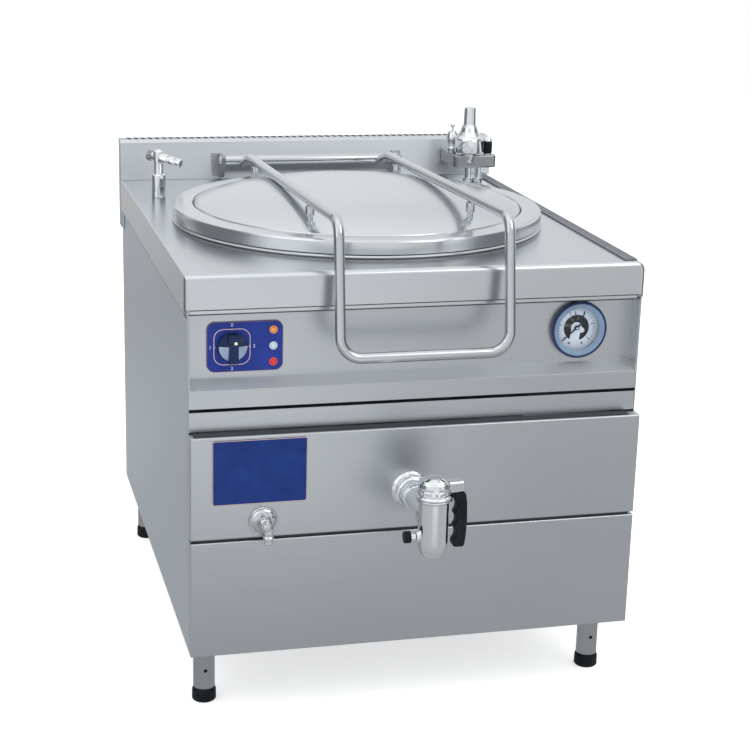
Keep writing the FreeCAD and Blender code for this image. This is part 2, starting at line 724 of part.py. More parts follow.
def heater_bank():
    """Bolted flange on the jacket's collar with three looped elements in the water."""
    y1 = PAN_Y + JACKET_R + JACKET_WALL + 10.0 + GAP
    parts = [rod(Vector(PAN_X, y1, HEATER_Z), Vector(PAN_X, y1 + 10, HEATER_Z), HEATER_R + 12),
             rod(Vector(PAN_X, y1 - 14, HEATER_Z), Vector(PAN_X, y1 + 1, HEATER_Z), HEATER_R - GAP)]
    for i in (-1, 0, 1):
        z = HEATER_Z - 6.0
        start = PAN_X + i * 15.0
        middle = PAN_X + i * 95.0
        spread = 26.0
        route = [Vector(start - 5, y1 - 8, z), Vector(start - 5, y1 - 50, z),
                 Vector(middle - spread, y1 - 170, z), Vector(middle - spread, PAN_Y - 150, z),
                 Vector(middle + spread, PAN_Y - 150, z), Vector(middle + spread, y1 - 170, z),
                 Vector(start + 5, y1 - 50, z), Vector(start + 5, y1 - 8, z)]
        parts.append(swept(route, [20, 30, 20, 20, 30, 20], ELEMENT_R))
    return union(parts)


def outlet_pipe():
    """Draw-off pipe from the vessel through the jacket to the wall escutcheon."""
    start = PAN_Y - PAN_OUT + PIPE_R
    f = PANEL_FACE
    pts = [(TAP_BORE, -start), (PIPE_R, -start), (PIPE_R, -f + GAP), (ESCUTCHEON_R, -f + GAP),
           (ESCUTCHEON_R, -f + 5), (ESCUTCHEON_R - 3, -f + 8), (PIPE_R + 8, -f + 9),
           (PIPE_R + 8, -f + 22), (PIPE_R + 5, -f + 25), (PIPE_R + 5, -f + 33), (TAP_BORE, -f + 33)]
    body = turned(pts, Vector(TAP_X, 0, TAP_Z), Vector(0, -1, 0))
    flats = []
    for i in range(6):
        cutter = block(-30, 30, -(-f + 23), -(-f + 8.5), PIPE_R + 6.6, PIPE_R + 20)
        cutter.rotate(Vector(0, 0, 0), Y, i * 60 + 12)
        cutter.translate(Vector(TAP_X, 0, TAP_Z))
        flats.append(cutter)
    return body.cut(Part.makeCompound(flats)).cut(pan_cylinder(PAN_OUT + GAP))


def tap_body():
    """Chromed tap casting: spigot, upright barrel, collar nut and side nipple."""
    centre = Vector(TAP_X, TAP_Y, 0)
    r = TAP_BODY_R
    prof = [(0, TAP_BOTTOM + 2), (16, TAP_BOTTOM), (r - 5.5, TAP_BOTTOM + 6), (r - 1.5, TAP_BOTTOM + 15),
            (r, TAP_BOTTOM + 26), (r, TAP_COLLAR - 6), (COLLAR_R - 2, TAP_COLLAR - 4),
            (COLLAR_R, TAP_COLLAR - 2), (COLLAR_R, TAP_COLLAR + 3), (COLLAR_R - 4, TAP_COLLAR + 6),
            (0, TAP_COLLAR + 6)]
    barrel = turned(prof, centre, Z)
    end = PANEL_FACE - 33 - GAP
    spigot = rod(Vector(TAP_X, TAP_Y, TAP_Z), Vector(TAP_X, end, TAP_Z), PIPE_R - 1)
    ring = rod(Vector(TAP_X, end - 9, TAP_Z), Vector(TAP_X, end, TAP_Z), PIPE_R + 3)
    nipple = rod(Vector(TAP_X, TAP_Y, SIDE_NIP_Z), Vector(TAP_X - r - 20, TAP_Y, SIDE_NIP_Z),
                 SIDE_NIP_R)
    boss = rod(Vector(TAP_X, TAP_Y, SIDE_NIP_Z), Vector(TAP_X - r - 5, TAP_Y, SIDE_NIP_Z),
               SIDE_NIP_R + 2.5)
    body = union([barrel, spigot, ring, nipple, boss])
    bores = [Part.makeCylinder(PLUG_R + RUN, TAP_COLLAR + 1 - (TAP_BOTTOM + 30),
                               Vector(TAP_X, TAP_Y, TAP_BOTTOM + 30)),
             Part.makeCylinder(PLUG_R - 3, 60, Vector(TAP_X, TAP_Y, TAP_BOTTOM - 10)),
             Part.makeCylinder(STEM_TAP_R + RUN, 20, Vector(TAP_X, TAP_Y, TAP_COLLAR)),
             rod(Vector(TAP_X, TAP_Y, TAP_Z), Vector(TAP_X, end + 1, TAP_Z), TAP_BORE - 1),
             rod(Vector(TAP_X, TAP_Y, SIDE_NIP_Z), Vector(TAP_X - r - 25, TAP_Y, SIDE_NIP_Z), 4.0)]
    return body.cut(Part.makeCompound(bores))


def tap_plug():
    """Hollow turning plug with a side port, and the stem the lever sits on."""
    low = TAP_BOTTOM + 30 + GAP
    top = TAP_COLLAR + 1 - GAP
    c = Vector(TAP_X, TAP_Y, 0)
    body = Part.makeCylinder(PLUG_R, top - low, c + Z * low)
    stem = Part.makeCylinder(STEM_TAP_R, CAP_TOP - 12 - top, c + Z * top)
    body = union([body, stem])
    hollow = Part.makeCylinder(PLUG_R - 4, top - low - 6, c + Z * (low - 1))
    port = rod(Vector(TAP_X, TAP_Y, TAP_Z), Vector(TAP_X, TAP_Y + 40, TAP_Z), TAP_BORE - 3)
    return body.cut(Part.makeCompound([hollow, port]))


def tap_lever():
    """Domed hub over the stem with a short arm that carries the grip."""
    c = Vector(TAP_X, TAP_Y, 0)
    z0 = TAP_COLLAR + 6 + GAP
    dome = turned([(0, z0), (28, z0), (28.5, z0 + 6), (27, z0 + 12), (24, z0 + 22), (18, z0 + 31),
                   (9, CAP_TOP - 1.2), (0, CAP_TOP)], c, Z)
    arm = block(10, GRIP_X + 12, -9, 9, z0 + 9, z0 + 22)
    tip = [e for e in arm.Edges if e.BoundBox.XMin > GRIP_X + 11.9 and e.BoundBox.ZLength > 5]
    arm = arm.makeFillet(6.0, tip)
    arm.translate(Vector(TAP_X, TAP_Y, 0))
    tang = block(GRIP_X - 3, GRIP_X + 6, -3, 3, z0 - 30, z0 + 12)
    tang.translate(Vector(TAP_X, TAP_Y, 0))
    body = union([dome, arm, tang])
    bore = Part.makeCylinder(STEM_TAP_R, CAP_TOP - 12 + GAP - z0 + 1, c + Z * (z0 - 1))
    return body.cut(bore)


def tap_grip():
    """Black hand grip with finger scallops towards the barrel."""
    z1 = TAP_COLLAR + 6 + GAP + 9 - GAP
    z0 = GRIP_BOTTOM
    x0 = GRIP_X - 8.0
    x1 = GRIP_X + 17.0
    outline = [(x0, z0 + 8), (x0 + 7, z0), (x1 - 9, z0), (x1 - 2, z0 + 16), (x1, z0 + 45),
               (x1 - 1, z1 - 20), (x1 - 4, z1), (x0 + 1, z1), (x0, z1 - 10)]
    corners = [Vector(x, -GRIP_W / 2, z) for x, z in outline]
    body = Part.Face(Part.makePolygon(corners + [corners[0]])).extrude(Vector(0, GRIP_W, 0))
    body = body.makeFillet(3.0, [e for e in body.Edges if e.BoundBox.YLength < 0.1
                                 and e.BoundBox.XMin > GRIP_X])
    cuts = []
    for k in range(3):
        z = z1 - 24 - k * 18.5
        cuts.append(rod(Vector(x0 - 3.5, -20, z), Vector(x0 - 3.5, 20, z), SCALLOP_R))
    slot = block(GRIP_X - 3, GRIP_X + 6, -3, 3, TAP_COLLAR + 6 + GAP - 30, z1 + 5)
    body = body.cut(Part.makeCompound(cuts + [slot]))
    body.translate(Vector(TAP_X, TAP_Y, 0))
    return body


def tap_side_cap():
    """Black knurled cap on the cleaning nipple."""
    x0 = TAP_X - TAP_BODY_R - 5 - GAP
    tip = TAP_X - TAP_BODY_R - 20
    x1 = tip - 5
    body = rod(Vector(x0 - 8, TAP_Y, SIDE_NIP_Z), Vector(x1, TAP_Y, SIDE_NIP_Z), SIDE_CAP_R)
    body = body.makeFillet(2.0, [e for e in body.Edges if e.BoundBox.XMax < x1 + 0.01])
    bore = rod(Vector(x0, TAP_Y, SIDE_NIP_Z), Vector(tip - GAP, TAP_Y, SIDE_NIP_Z),
               SIDE_NIP_R + RUN)
    flutes = []
    for i in range(12):
        a = math.radians(30 * i)
        y = TAP_Y + (SIDE_CAP_R + 0.6) * math.cos(a)
        z = SIDE_NIP_Z + (SIDE_CAP_R + 0.6) * math.sin(a)
        flutes.append(rod(Vector(x0, y, z), Vector(x1 - 1, y, z), 1.3))
    return body.cut(bore).cut(Part.makeCompound(flutes))


def level_tap():
    """Level cock for the jacket: rose, barrel, short spout with hose rings."""
    f = PANEL_FACE
    inward = -PAN_Y / 2.0 - 20.0
    r = LEVEL_BARREL_R
    p = LEVEL_PIPE_R
    pts = [(0, inward), (p, inward), (p, -f - 20), (r, -f - 18), (r, -f + GAP),
           (LEVEL_ROSE_R, -f + GAP), (LEVEL_ROSE_R, -f + 2.5), (LEVEL_ROSE_R - 4, -f + 6),
           (r + 3, -f + 9), (r + 3, -f + LEVEL_REACH - 8), (r, -f + LEVEL_REACH - 6),
           (r, -f + LEVEL_REACH), (0, -f + LEVEL_REACH)]
    body = turned(pts, Vector(LEVEL_X, 0, LEVEL_Z), Vector(0, -1, 0))
    y = f - LEVEL_REACH + 14
    low = LEVEL_SPOUT_LOW
    spout = turned([(0, low), (6, low), (6.5, low + 3), (6, low + 9), (7.5, low + 11), (7.5, low + 14),
                    (5.5, low + 16), (7, low + 24), (7, LEVEL_Z), (0, LEVEL_Z)],
                   Vector(LEVEL_X + 6, y, 0), Z)
    elbow = rod(Vector(LEVEL_X, y, LEVEL_Z - 2), Vector(LEVEL_X + 6, y, LEVEL_Z - 2), 7.0)
    body = union([body, spout, elbow]).cut(pan_cylinder(JACKET_R + JACKET_WALL + GAP))
    return body.cut(Part.makeCylinder(3.2, LEVEL_Z - low, Vector(LEVEL_X + 6, y, low - 1))
                    ).cut(rod(Vector(LEVEL_X, f - LEVEL_REACH - 1, LEVEL_Z),
                              Vector(LEVEL_X, f - LEVEL_REACH + 10, LEVEL_Z), 3.0 + RUN))


def level_tap_key():
    """Flat key that turns the level cock."""
    f = PANEL_FACE - LEVEL_REACH
    hub = rod(Vector(LEVEL_X, f - 8, LEVEL_Z), Vector(LEVEL_X, f - GAP, LEVEL_Z), 7.0)
    shaft = rod(Vector(LEVEL_X, f - 2, LEVEL_Z), Vector(LEVEL_X, f + 9, LEVEL_Z), 3.0)
    wing = block(LEVEL_X - 3, LEVEL_X + 3, f - 8, f - 2.5, LEVEL_Z, LEVEL_Z + 17)
    wing = wing.makeFillet(2.0, [e for e in wing.Edges if e.BoundBox.ZMin > LEVEL_Z + 16.9
                                 and e.BoundBox.YLength > 3])
    return union([hub, shaft, wing])


def control_plate():
    body = rounded_plate(PLATE_X, PLATE_Z, PLATE_W, PLATE_H, PLATE_FACE, RECESS - GAP, PLATE_CORNER)
    cuts = [rod(Vector(KNOB_X, 0, PLATE_Z), Vector(KNOB_X, 60, PLATE_Z), 4.5)]
    for i in (-1, 0, 1):
        z = PLATE_Z + i * LAMP_PITCH
        cuts.append(rod(Vector(LAMP_X, 20, z), Vector(LAMP_X, 60, z), 5.5))
    return body.cut(Part.makeCompound(cuts))


def rotary_switch():
    """Four-position cam switch behind the fascia."""
    y0 = RECESS_BACK + GAP
    body = block(KNOB_X - 24, KNOB_X + 24, y0, y0 + 42, PLATE_Z - 24, PLATE_Z + 24)
    body = body.makeFillet(3.0, [e for e in body.Edges if e.BoundBox.YLength > 40])
    terminals = []
    for k in range(3):
        for s in (-1, 1):
            terminals.append(block(KNOB_X + s * 24 - 4, KNOB_X + s * 24 + 4, y0 + 8 + k * 11,
                                   y0 + 14 + k * 11, PLATE_Z - 12, PLATE_Z + 12))
    body = union([body] + terminals)
    return body.cut(rod(Vector(KNOB_X, y0 - 1, PLATE_Z), Vector(KNOB_X, y0 + 24, PLATE_Z), 3.0 + RUN))


def switch_knob():
    """Turning knob with a raised grip bar, and its spindle."""
    y1 = PLATE_FACE - GAP
    skirt = turned([(0, 0), (KNOB_R, 0), (KNOB_R, 4), (KNOB_R - 2, 7), (0, 7)],
                   Vector(KNOB_X, y1, PLATE_Z), Vector(0, -1, 0))
    grip = rod(Vector(KNOB_X, y1, PLATE_Z), Vector(KNOB_X, y1 - KNOB_H, PLATE_Z), KNOB_R - 2)
    bar = block(KNOB_X - 7.5, KNOB_X + 7.5, y1 - KNOB_H, y1 - 3, PLATE_Z - KNOB_R, PLATE_Z + KNOB_R)
    taper = bar.makeFillet(4.0, [e for e in bar.Edges if e.BoundBox.YMax < y1 - KNOB_H + 0.01
                                 and e.Length > 30])
    spindle = rod(Vector(KNOB_X, y1 - 5, PLATE_Z), Vector(KNOB_X, RECESS_BACK + 20, PLATE_Z), 3.0)
    return union([skirt, grip.common(taper), spindle])


def lamp(i):
    """Indicator lamp: lens in front, barrel through the plate and fascia."""
    z = PLATE_Z + i * LAMP_PITCH
    f = PLATE_FACE - GAP
    pts = [(0, 6.5), (3, 6.0), (5.5, 4.5), (LAMP_R, 3.2), (LAMP_R, 0), (5.2, 0), (5.2, -24), (0, -24)]
    return turned(pts, Vector(LAMP_X, f, z), Vector(0, -1, 0))


def gauge_case():
    """Round gauge case let into the fascia, with its flange, rear stud and centre post."""
    d = GAUGE_DEPTH - BEZEL_H
    y1 = GAUGE_SHOULDER + d
    w = GAUGE_WALL
    r = GAUGE_R - GAUGE_NECK
    lip = d - GAUGE_PROUD + BEZEL_H
    pts = [(0, 0), (r - 3, 0), (r, 3), (r, lip), (GAUGE_R, lip), (GAUGE_R, d), (r - w, d),
           (r - w, w), (0, w)]
    body = turned(pts, Vector(GAUGE_X, y1, GAUGE_Z), Vector(0, -1, 0))
    stud = rod(Vector(GAUGE_X, y1 - 1, GAUGE_Z), Vector(GAUGE_X, y1 + 14, GAUGE_Z), 7.0)
    post = rod(Vector(GAUGE_X, y1 - w, GAUGE_Z), Vector(GAUGE_X, y1 - d + 12, GAUGE_Z), 5.0)
    body = union([body, stud, post])
    return body.cut(rod(Vector(GAUGE_X, y1 - d, GAUGE_Z), Vector(GAUGE_X, y1 - d + 24, GAUGE_Z),
                        1.5 + RUN))


def gauge_bezel():
    y1 = GAUGE_SHOULDER - GAP
    pts = [(GAUGE_R - 6, 0), (GAUGE_R - 1, 0), (GAUGE_R, 1), (GAUGE_R, 4), (GAUGE_R - 3, BEZEL_H),
           (GAUGE_R - 8, BEZEL_H), (BEZEL_OPEN, 3.2), (BEZEL_OPEN, 0.8), (GAUGE_R - 6, 0.8)]
    return turned(pts, Vector(GAUGE_X, y1, GAUGE_Z), Vector(0, -1, 0))


def gauge_dial():
    """Dial plate with the arched window that shows the works, on the case post."""
    y1 = DIAL_Y
    r = GAUGE_R - GAUGE_NECK - GAUGE_WALL - GAP
    body = rod(Vector(GAUGE_X, y1, GAUGE_Z), Vector(GAUGE_X, y1 - 1.2, GAUGE_Z), r)
    window = turned([(10.5, -3), (24.5, -3), (24.5, 3), (10.5, 3)],
                    Vector(GAUGE_X, y1, GAUGE_Z), Vector(0, -1, 0))
    bridge = block(GAUGE_X - 9, GAUGE_X + 9, y1 - 10, y1 + 10, GAUGE_Z - 40, GAUGE_Z)
    bridge.rotate(Vector(GAUGE_X, y1, GAUGE_Z), Y, 8)
    body = body.cut(window.cut(bridge))
    return body.cut(rod(Vector(GAUGE_X, y1 - 5, GAUGE_Z), Vector(GAUGE_X, y1 + 5, GAUGE_Z), 3.0))


def gauge_needle():
    """Pointer on its spindle, resting towards the lower left."""
    y1 = DIAL_Y
    spindle = rod(Vector(GAUGE_X, y1 - 6, GAUGE_Z), Vector(GAUGE_X, y1 + 8, GAUGE_Z), 1.5)
    hub = rod(Vector(GAUGE_X, y1 - 5, GAUGE_Z), Vector(GAUGE_X, y1 - 1.2 - GAP, GAUGE_Z), 4.0)
    blade = [Vector(-1.6, 0, -10), Vector(1.6, 0, -10), Vector(0.5, 0, 36), Vector(-0.5, 0, 36)]
    arm = Part.Face(Part.makePolygon(blade + [blade[0]])).extrude(Vector(0, 1.2, 0))
    arm.rotate(Vector(0, 0, 0), Y, NEEDLE_REST)
    arm.translate(Vector(GAUGE_X, y1 - 4, GAUGE_Z))
    return union([spindle, hub, arm])


def gauge_glass():
    y1 = GAUGE_SHOULDER - GAP + 0.5
    return rod(Vector(GAUGE_X, y1, GAUGE_Z), Vector(GAUGE_X, y1 + 2.0, GAUGE_Z),
               GAUGE_R - GAUGE_NECK - GAUGE_WALL - GAP)


def dome_height(r):
    """Height of the lid's centre panel above its flat border."""
    return DOME * max(0.0, 1.0 - (r / GROOVE_R) ** DOME_POWER)


def lid_rings():
    """(radius, height above the flat border) along the lid's upper surface."""
    g = GROOVE_R
    w = GROOVE_W
    steps = 11
    rings = []
    for i in range(steps):
        r = (g - 1.5 * w) * math.sin(math.radians(90.0 * i / (steps - 1)))
        rings.append((r, dome_height(r)))
    return rings + [(g - w * 0.2, 0.6), (g, -GROOVE_D), (g + w * 0.5, -GROOVE_D), (g + w, 0)]


def lid_shell():
    """Outer lid skin: rolled skirt, flat border, pressed groove and domed centre."""
    t = LID_SHEET
    top = [(r, LID_TOP + h) for r, h in lid_rings()]
    under = [(r, z - t) for r, z in top]
    edge = [(LID_R - LID_BEND, LID_TOP), (LID_R - LID_BEND * 0.3, LID_TOP - LID_BEND * 0.3),
            (LID_R, LID_TOP - LID_BEND), (LID_R, SKIRT_Z), (LID_R - t, SKIRT_Z),
            (LID_R - t, LID_TOP - LID_BEND), (LID_R - LID_BEND, LID_TOP - t)]
    return turned(top + edge + under[::-1], Vector(PAN_X, PAN_Y, 0), Z)


def under_lid_surface(lift):
    """Solid below the lid's upper surface, raised by lift, for seating what stands on it."""
    r1 = LID_R - LID_BEND
    top = [(r, LID_TOP + h + lift) for r, h in lid_rings() + [(r1, 0)]]
    return turned(top + [(r1, WORKTOP_Z), (0, WORKTOP_Z)], Vector(PAN_X, PAN_Y, 0), Z)


def lid_liner():
    """Inner lid skin that hangs into the vessel and throws drips back into it."""
    t = LID_SHEET
    z = LID_TOP - LINER_DROP
    r1 = LID_R - LID_SHEET - GAP
    pts = [(0, z + 20), (VESSEL_R - 60, z + 8), (VESSEL_R - 14, z - 16), (VESSEL_R - 10, z - 16),
           (VESSEL_R - 6, z), (r1, z), (r1, z + t), (VESSEL_R - 8, z + t), (VESSEL_R - 12, z - 14),
           (VESSEL_R - 14, z - 14), (VESSEL_R - 60, z + 8 + t), (0, z + 20 + t)]
    return turned(pts, Vector(PAN_X, PAN_Y, 0), Z)


def lid_gasket():
    """Square-section seal ring that rides on the vessel rim."""
    z0 = RIM_TOP + GAP
    z1 = LID_TOP - LINER_DROP - GAP
    pts = [(SEAL_R - SEAL_W, z1), (SEAL_R - SEAL_W, z0 + 2), (SEAL_R - SEAL_W + 2, z0),
           (SEAL_R - 2, z0), (SEAL_R, z0 + 2), (SEAL_R, z1)]
    return turned(pts, Vector(PAN_X, PAN_Y, 0), Z)


def arm_z(y):
    """Height of the handle arms' centre line."""
    run = (PEAK_Y - y) / (PEAK_Y - ARM_FRONT_Y)
    return ARM_REAR_Z + (ARM_FRONT_Z - ARM_REAR_Z) * run


def lid_handle():
    """One bent tube: both arms and the front loop, welded to the hinge sleeve."""
    side = [(HINGE_Y, HINGE_Z - REAR_DROP), (PEAK_Y, ARM_REAR_Z),
            (ARM_FRONT_Y, ARM_FRONT_Z), (LOOP_Y, LOOP_Z)]
    route = [Vector(HANDLE_X - ARM_HALF, y, z) for y, z in side]
    route += [Vector(HANDLE_X + ARM_HALF, y, z) for y, z in reversed(side)]
    bends = [REAR_BEND, KNEE_BEND, LOOP_BEND, LOOP_BEND, KNEE_BEND, REAR_BEND]
    outer = swept(route, bends, ARM_R)
    inner = swept(route, bends, ARM_R - ARM_WALL)
    sleeve = rod(Vector(HANDLE_X - HINGE_HALF, HINGE_Y, HINGE_Z),
                 Vector(HANDLE_X + HINGE_HALF, HINGE_Y, HINGE_Z), HINGE_TUBE_R)
    bore = rod(Vector(HANDLE_X - HINGE_HALF - 1, HINGE_Y, HINGE_Z),
               Vector(HANDLE_X + HINGE_HALF + 1, HINGE_Y, HINGE_Z), HINGE_ROD_R + RUN)
    return union([outer.cut(inner).cut(sleeve), sleeve]).cut(bore)


def handle_post(sx, y):
    """Stepped post between the lid panel and the handle arm."""
    x = HANDLE_X + sx * ARM_HALF
    r = math.hypot(x - PAN_X, y - PAN_Y)
    z0 = LID_TOP + dome_height(r)
    z1 = arm_z(y) - ARM_R - GAP
    stem = z0 + (z1 - z0) * 0.4
    pts = [(0, z0 - 4), (POST_FOOT_R, z0 - 4), (POST_FOOT_R, stem), (POST_R, stem + 2),
           (POST_R, z1 - 1), (POST_R - 1, z1), (0, z1)]
    return turned(pts, Vector(x, y, 0), Z).cut(under_lid_surface(GAP))


def splash_face(z):
    """Y of the upstand's sloping face at height z."""
    return SPLASH_Y + (z - WORKTOP_Z) * SPLASH_LEAN


def hinge_bracket():
    """Two side plates with feet on the upstand, joined by the flat stop bar."""
    z0 = BRACKET_LOW
    z1 = HINGE_Z + 8
    y0 = splash_face(z0) - GAP
    y1 = splash_face(z1) - GAP
    pad_t = 4.0
    cheek = [(HINGE_Y - 13, HINGE_Z - 8), (HINGE_Y - 13, HINGE_Z + 6), (HINGE_Y - 6, z1),
             (y1, z1), (y0, z0), (HINGE_Y + 12, z0)]
    pad = [(y0, z0), (y1, z1), (y1 - pad_t, z1), (y0 - pad_t, z0)]
    bar_y = HINGE_Y + HINGE_TUBE_R + 6.0
    bar_z = HINGE_Z - HINGE_TUBE_R - 1.0
    near = HINGE_HALF + GAP
    parts = [block(HANDLE_X - near - 1, HANDLE_X + near + 1, bar_y, bar_y + 8.0, bar_z - BAR_H, bar_z)]
    for sx in (-1, 1):
        a = HANDLE_X + sx * near
        b = a + sx * BRACKET_W
        c = a + sx * (BRACKET_W + 14)
        parts.append(profile_x(cheek, min(a, b), max(a, b)))
        parts.append(profile_x(pad, min(a, c), max(a, c)))
    far = near + BRACKET_W + 1
    return union(parts).cut(rod(Vector(HANDLE_X - far, HINGE_Y, HINGE_Z),
                                Vector(HANDLE_X + far, HINGE_Y, HINGE_Z), HINGE_ROD_R + GAP))


def hinge_rod():
    """Through rod with domed heads outside the brackets."""
    e = HINGE_HALF + GAP + BRACKET_W + GAP
    shaft = rod(Vector(HANDLE_X - e, HINGE_Y, HINGE_Z), Vector(HANDLE_X + e, HINGE_Y, HINGE_Z),
                HINGE_ROD_R)
    head = [(0, 6), (5, 5.2), (8.5, 3), (9.5, 0), (0, 0)]
    left = turned(head, Vector(HANDLE_X - e, HINGE_Y, HINGE_Z), Vector(-1, 0, 0))
    right = turned(head, Vector(HANDLE_X + e, HINGE_Y, HINGE_Z), Vector(1, 0, 0))
    return union([shaft, left, right])


def fill_direction():
    """Unit vector along the fill tap's spout: inward over the vessel, a little down."""
    a = math.radians(FILL_AIM)
    d = Vector(math.cos(a), math.sin(a), -FILL_DIP)
    d.normalize()
    return d


def fill_tap():
    """Cold water tap: sleeve and neck, tee body and spout, pipe below the worktop."""
    c = Vector(FILL_X, FILL_Y, 0)
    z0 = WORKTOP_Z + GAP
    top = FILL_Z + FILL_BODY_R + 6
    col = turned([(0, z0), (FILL_SLEEVE_R + 2, z0), (FILL_SLEEVE_R + 2, z0 + 3),
                  (FILL_SLEEVE_R, z0 + 5), (FILL_SLEEVE_R, z0 + FILL_SLEEVE_H - 1.5),
                  (FILL_SLEEVE_R - 1.5, z0 + FILL_SLEEVE_H), (FILL_NECK_R, z0 + FILL_SLEEVE_H),
                  (FILL_NECK_R, FILL_Z - 9), (FILL_BODY_R, FILL_Z - 7), (FILL_BODY_R, top - 4),
                  (FILL_BODY_R - 4, top), (0, top)], c, Z)
    stub = Part.makeCylinder(FILL_NECK_R, 40, Vector(FILL_X, FILL_Y, WORKTOP_Z - 38))
    d = fill_direction()
    s = Vector(FILL_X, FILL_Y, FILL_Z)
    r = FILL_BODY_R
    spout = turned([(0, -15), (r - 1.5, -15), (r - 1.5, 5), (r + 1, 6), (r + 1, 24), (r - 2, 25),
                    (r - 2, 29), (r, 30), (r, 40), (r - 2, 41), (r - 2, FILL_SPOUT - 9),
                    (r - 1, FILL_SPOUT - 8), (r - 1, FILL_SPOUT - 2), (r - 2, FILL_SPOUT),
                    (0, FILL_SPOUT)], Vector(0, 0, 0), Z)
    spout.Placement = FreeCAD.Placement(s, FreeCAD.Rotation(Z, d))
    pipe = swept([Vector(FILL_X, FILL_Y, WORKTOP_Z - 37), Vector(FILL_X, FILL_Y, INLET_Z),
                  Vector(FILL_X, DEPTH - 6, INLET_Z)], [40.0], INLET_R - 1.5)
    end = rod(Vector(FILL_X, DEPTH - 2 - INLET_END, INLET_Z), Vector(FILL_X, DEPTH - 2, INLET_Z),
              INLET_R)
    body = union([col, stub, spout, pipe, end])
    bore = rod(s + d * 8, s + d * (FILL_SPOUT + 1), FILL_BORE)
    inlet = rod(Vector(FILL_X, DEPTH - 30, INLET_Z), Vector(FILL_X, DEPTH, INLET_Z), INLET_R - 4)
    seat = rod(s - d * 5, s - d * 16, KEY_R + RUN)
    return body.cut(Part.makeCompound([bore, inlet, seat]))


def fill_tap_knob():
    """Small turning handle at the back end of the fill tap."""
    s = Vector(FILL_X, FILL_Y, FILL_Z)
    back = fill_direction() * -1.0
    body = turned([(0, 0), (9.5, 0), (10.5, 1.5), (10.5, 7), (8, 9), (0, 9)], Vector(0, 0, 0), Z)
    flutes = []
    for i in range(6):
        t = math.radians(60 * i)
        flutes.append(Part.makeCylinder(2.4, 20, Vector(12 * math.cos(t), 12 * math.sin(t), -2)))
    body = body.cut(Part.makeCompound(flutes))
    body.Placement = FreeCAD.Placement(s + back * (15 + GAP), FreeCAD.Rotation(Z, back))
    shaft = rod(s + back * 6, s + back * 17, KEY_R)
    return union([body, shaft])


def manifold():
    """Cast square elbow that leaves the upstand and carries the valves, on two risers."""
    z0 = MAN_Z - MAN_H
    z1 = MAN_Z + MAN_H
    behind = profile_x([(splash_face(z0) - GAP, z0 - 1), (splash_face(z1) - GAP, z1 + 1),
                        (DEPTH, z1 + 1), (DEPTH, z0 - 1)], 0, HALF)
    arm = block(MAN_X - MAN_W, MAN_X + MAN_W, MAN_Y - MAN_W, SPLASH_TOP_Y, z0, z1)
    bar = block(MAN_X - MAN_W, MAN_END, MAN_Y - MAN_W, MAN_Y + MAN_W, z0, z1)
    cast = union([arm, bar])
    corners = [e for e in cast.Edges if e.BoundBox.ZLength > MAN_H
               and (e.BoundBox.XMin > MAN_END - 0.1 or e.BoundBox.YMax < MAN_Y - MAN_W + 0.1)]
    cast = cast.makeFillet(MAN_CORNER, corners)
    rims = [e for e in cast.Edges if e.BoundBox.ZLength < 0.1 and e.BoundBox.YMax < SPLASH_TOP_Y - 1]
    cast = cast.makeFillet(3.0, rims).cut(behind)
    bosses = []
    for i in (0, 1):
        x = FUNNEL_X + i * RISER_GAP
        bosses.append(Part.makeCylinder(RISER_R, MAN_Z - WORKTOP_Z + 60, Vector(x, MAN_Y,
                                                                              WORKTOP_Z - 60)))
        bosses.append(Part.makeCylinder(RISER_R + 3, 8, Vector(x, MAN_Y, WORKTOP_Z + GAP)))
    seats = [Part.makeCylinder(16, SEAT_H, Vector(FUNNEL_X, MAN_Y, MAN_Z)),
             Part.makeCylinder(9, SEAT_H, Vector(KNOB_VALVE_X, MAN_Y, MAN_Z)),
             Part.makeCylinder(10, SEAT_H, Vector(RELIEF_X, RELIEF_Y, MAN_Z))]
    body = union([cast] + bosses + seats)
    bores = [Part.makeCylinder(3.5 + RUN, 12, Vector(KNOB_VALVE_X, MAN_Y, MAN_Z + 6)),
             Part.makeCylinder(6, 20, Vector(FUNNEL_X, MAN_Y, MAN_Z))]
    return body.cut(Part.makeCompound(bores))


def funnel():
    """Filling funnel for the jacket: six-sided body, cone shoulder and open tube."""
    z0 = SEAT_Z + GAP
    r = FUNNEL_R
    pts = [(0, z0), (16, z0), (17, z0 + 1.5), (r - 1.5, z0 + 2.5), (r, z0 + 4), (r, z0 + 32),
           (r - 1.5, z0 + 35), (21.5, z0 + 40), (19.5, z0 + 47), (17.8, z0 + 57), (13.8, z0 + 64),
           (13.2, FUNNEL_TOP - 3), (12.8, FUNNEL_TOP), (FUNNEL_BORE, FUNNEL_TOP),
           (FUNNEL_BORE, z0 + 62), (9, z0 + 50), (6, z0 + 34), (6, z0 + 14), (0, z0 + 14)]
    body = turned(pts, Vector(FUNNEL_X, MAN_Y, 0), Z)
    flats = []
    for i in range(6):
        cutter = block(r * 0.92, r * 2, -r, r, z0 + 6, z0 + 30)
        cutter.rotate(Vector(0, 0, 0), Z, i * 60 + 20)
        cutter.translate(Vector(FUNNEL_X, MAN_Y, 0))
        flats.append(cutter)
    return body.cut(Part.makeCompound(flats))


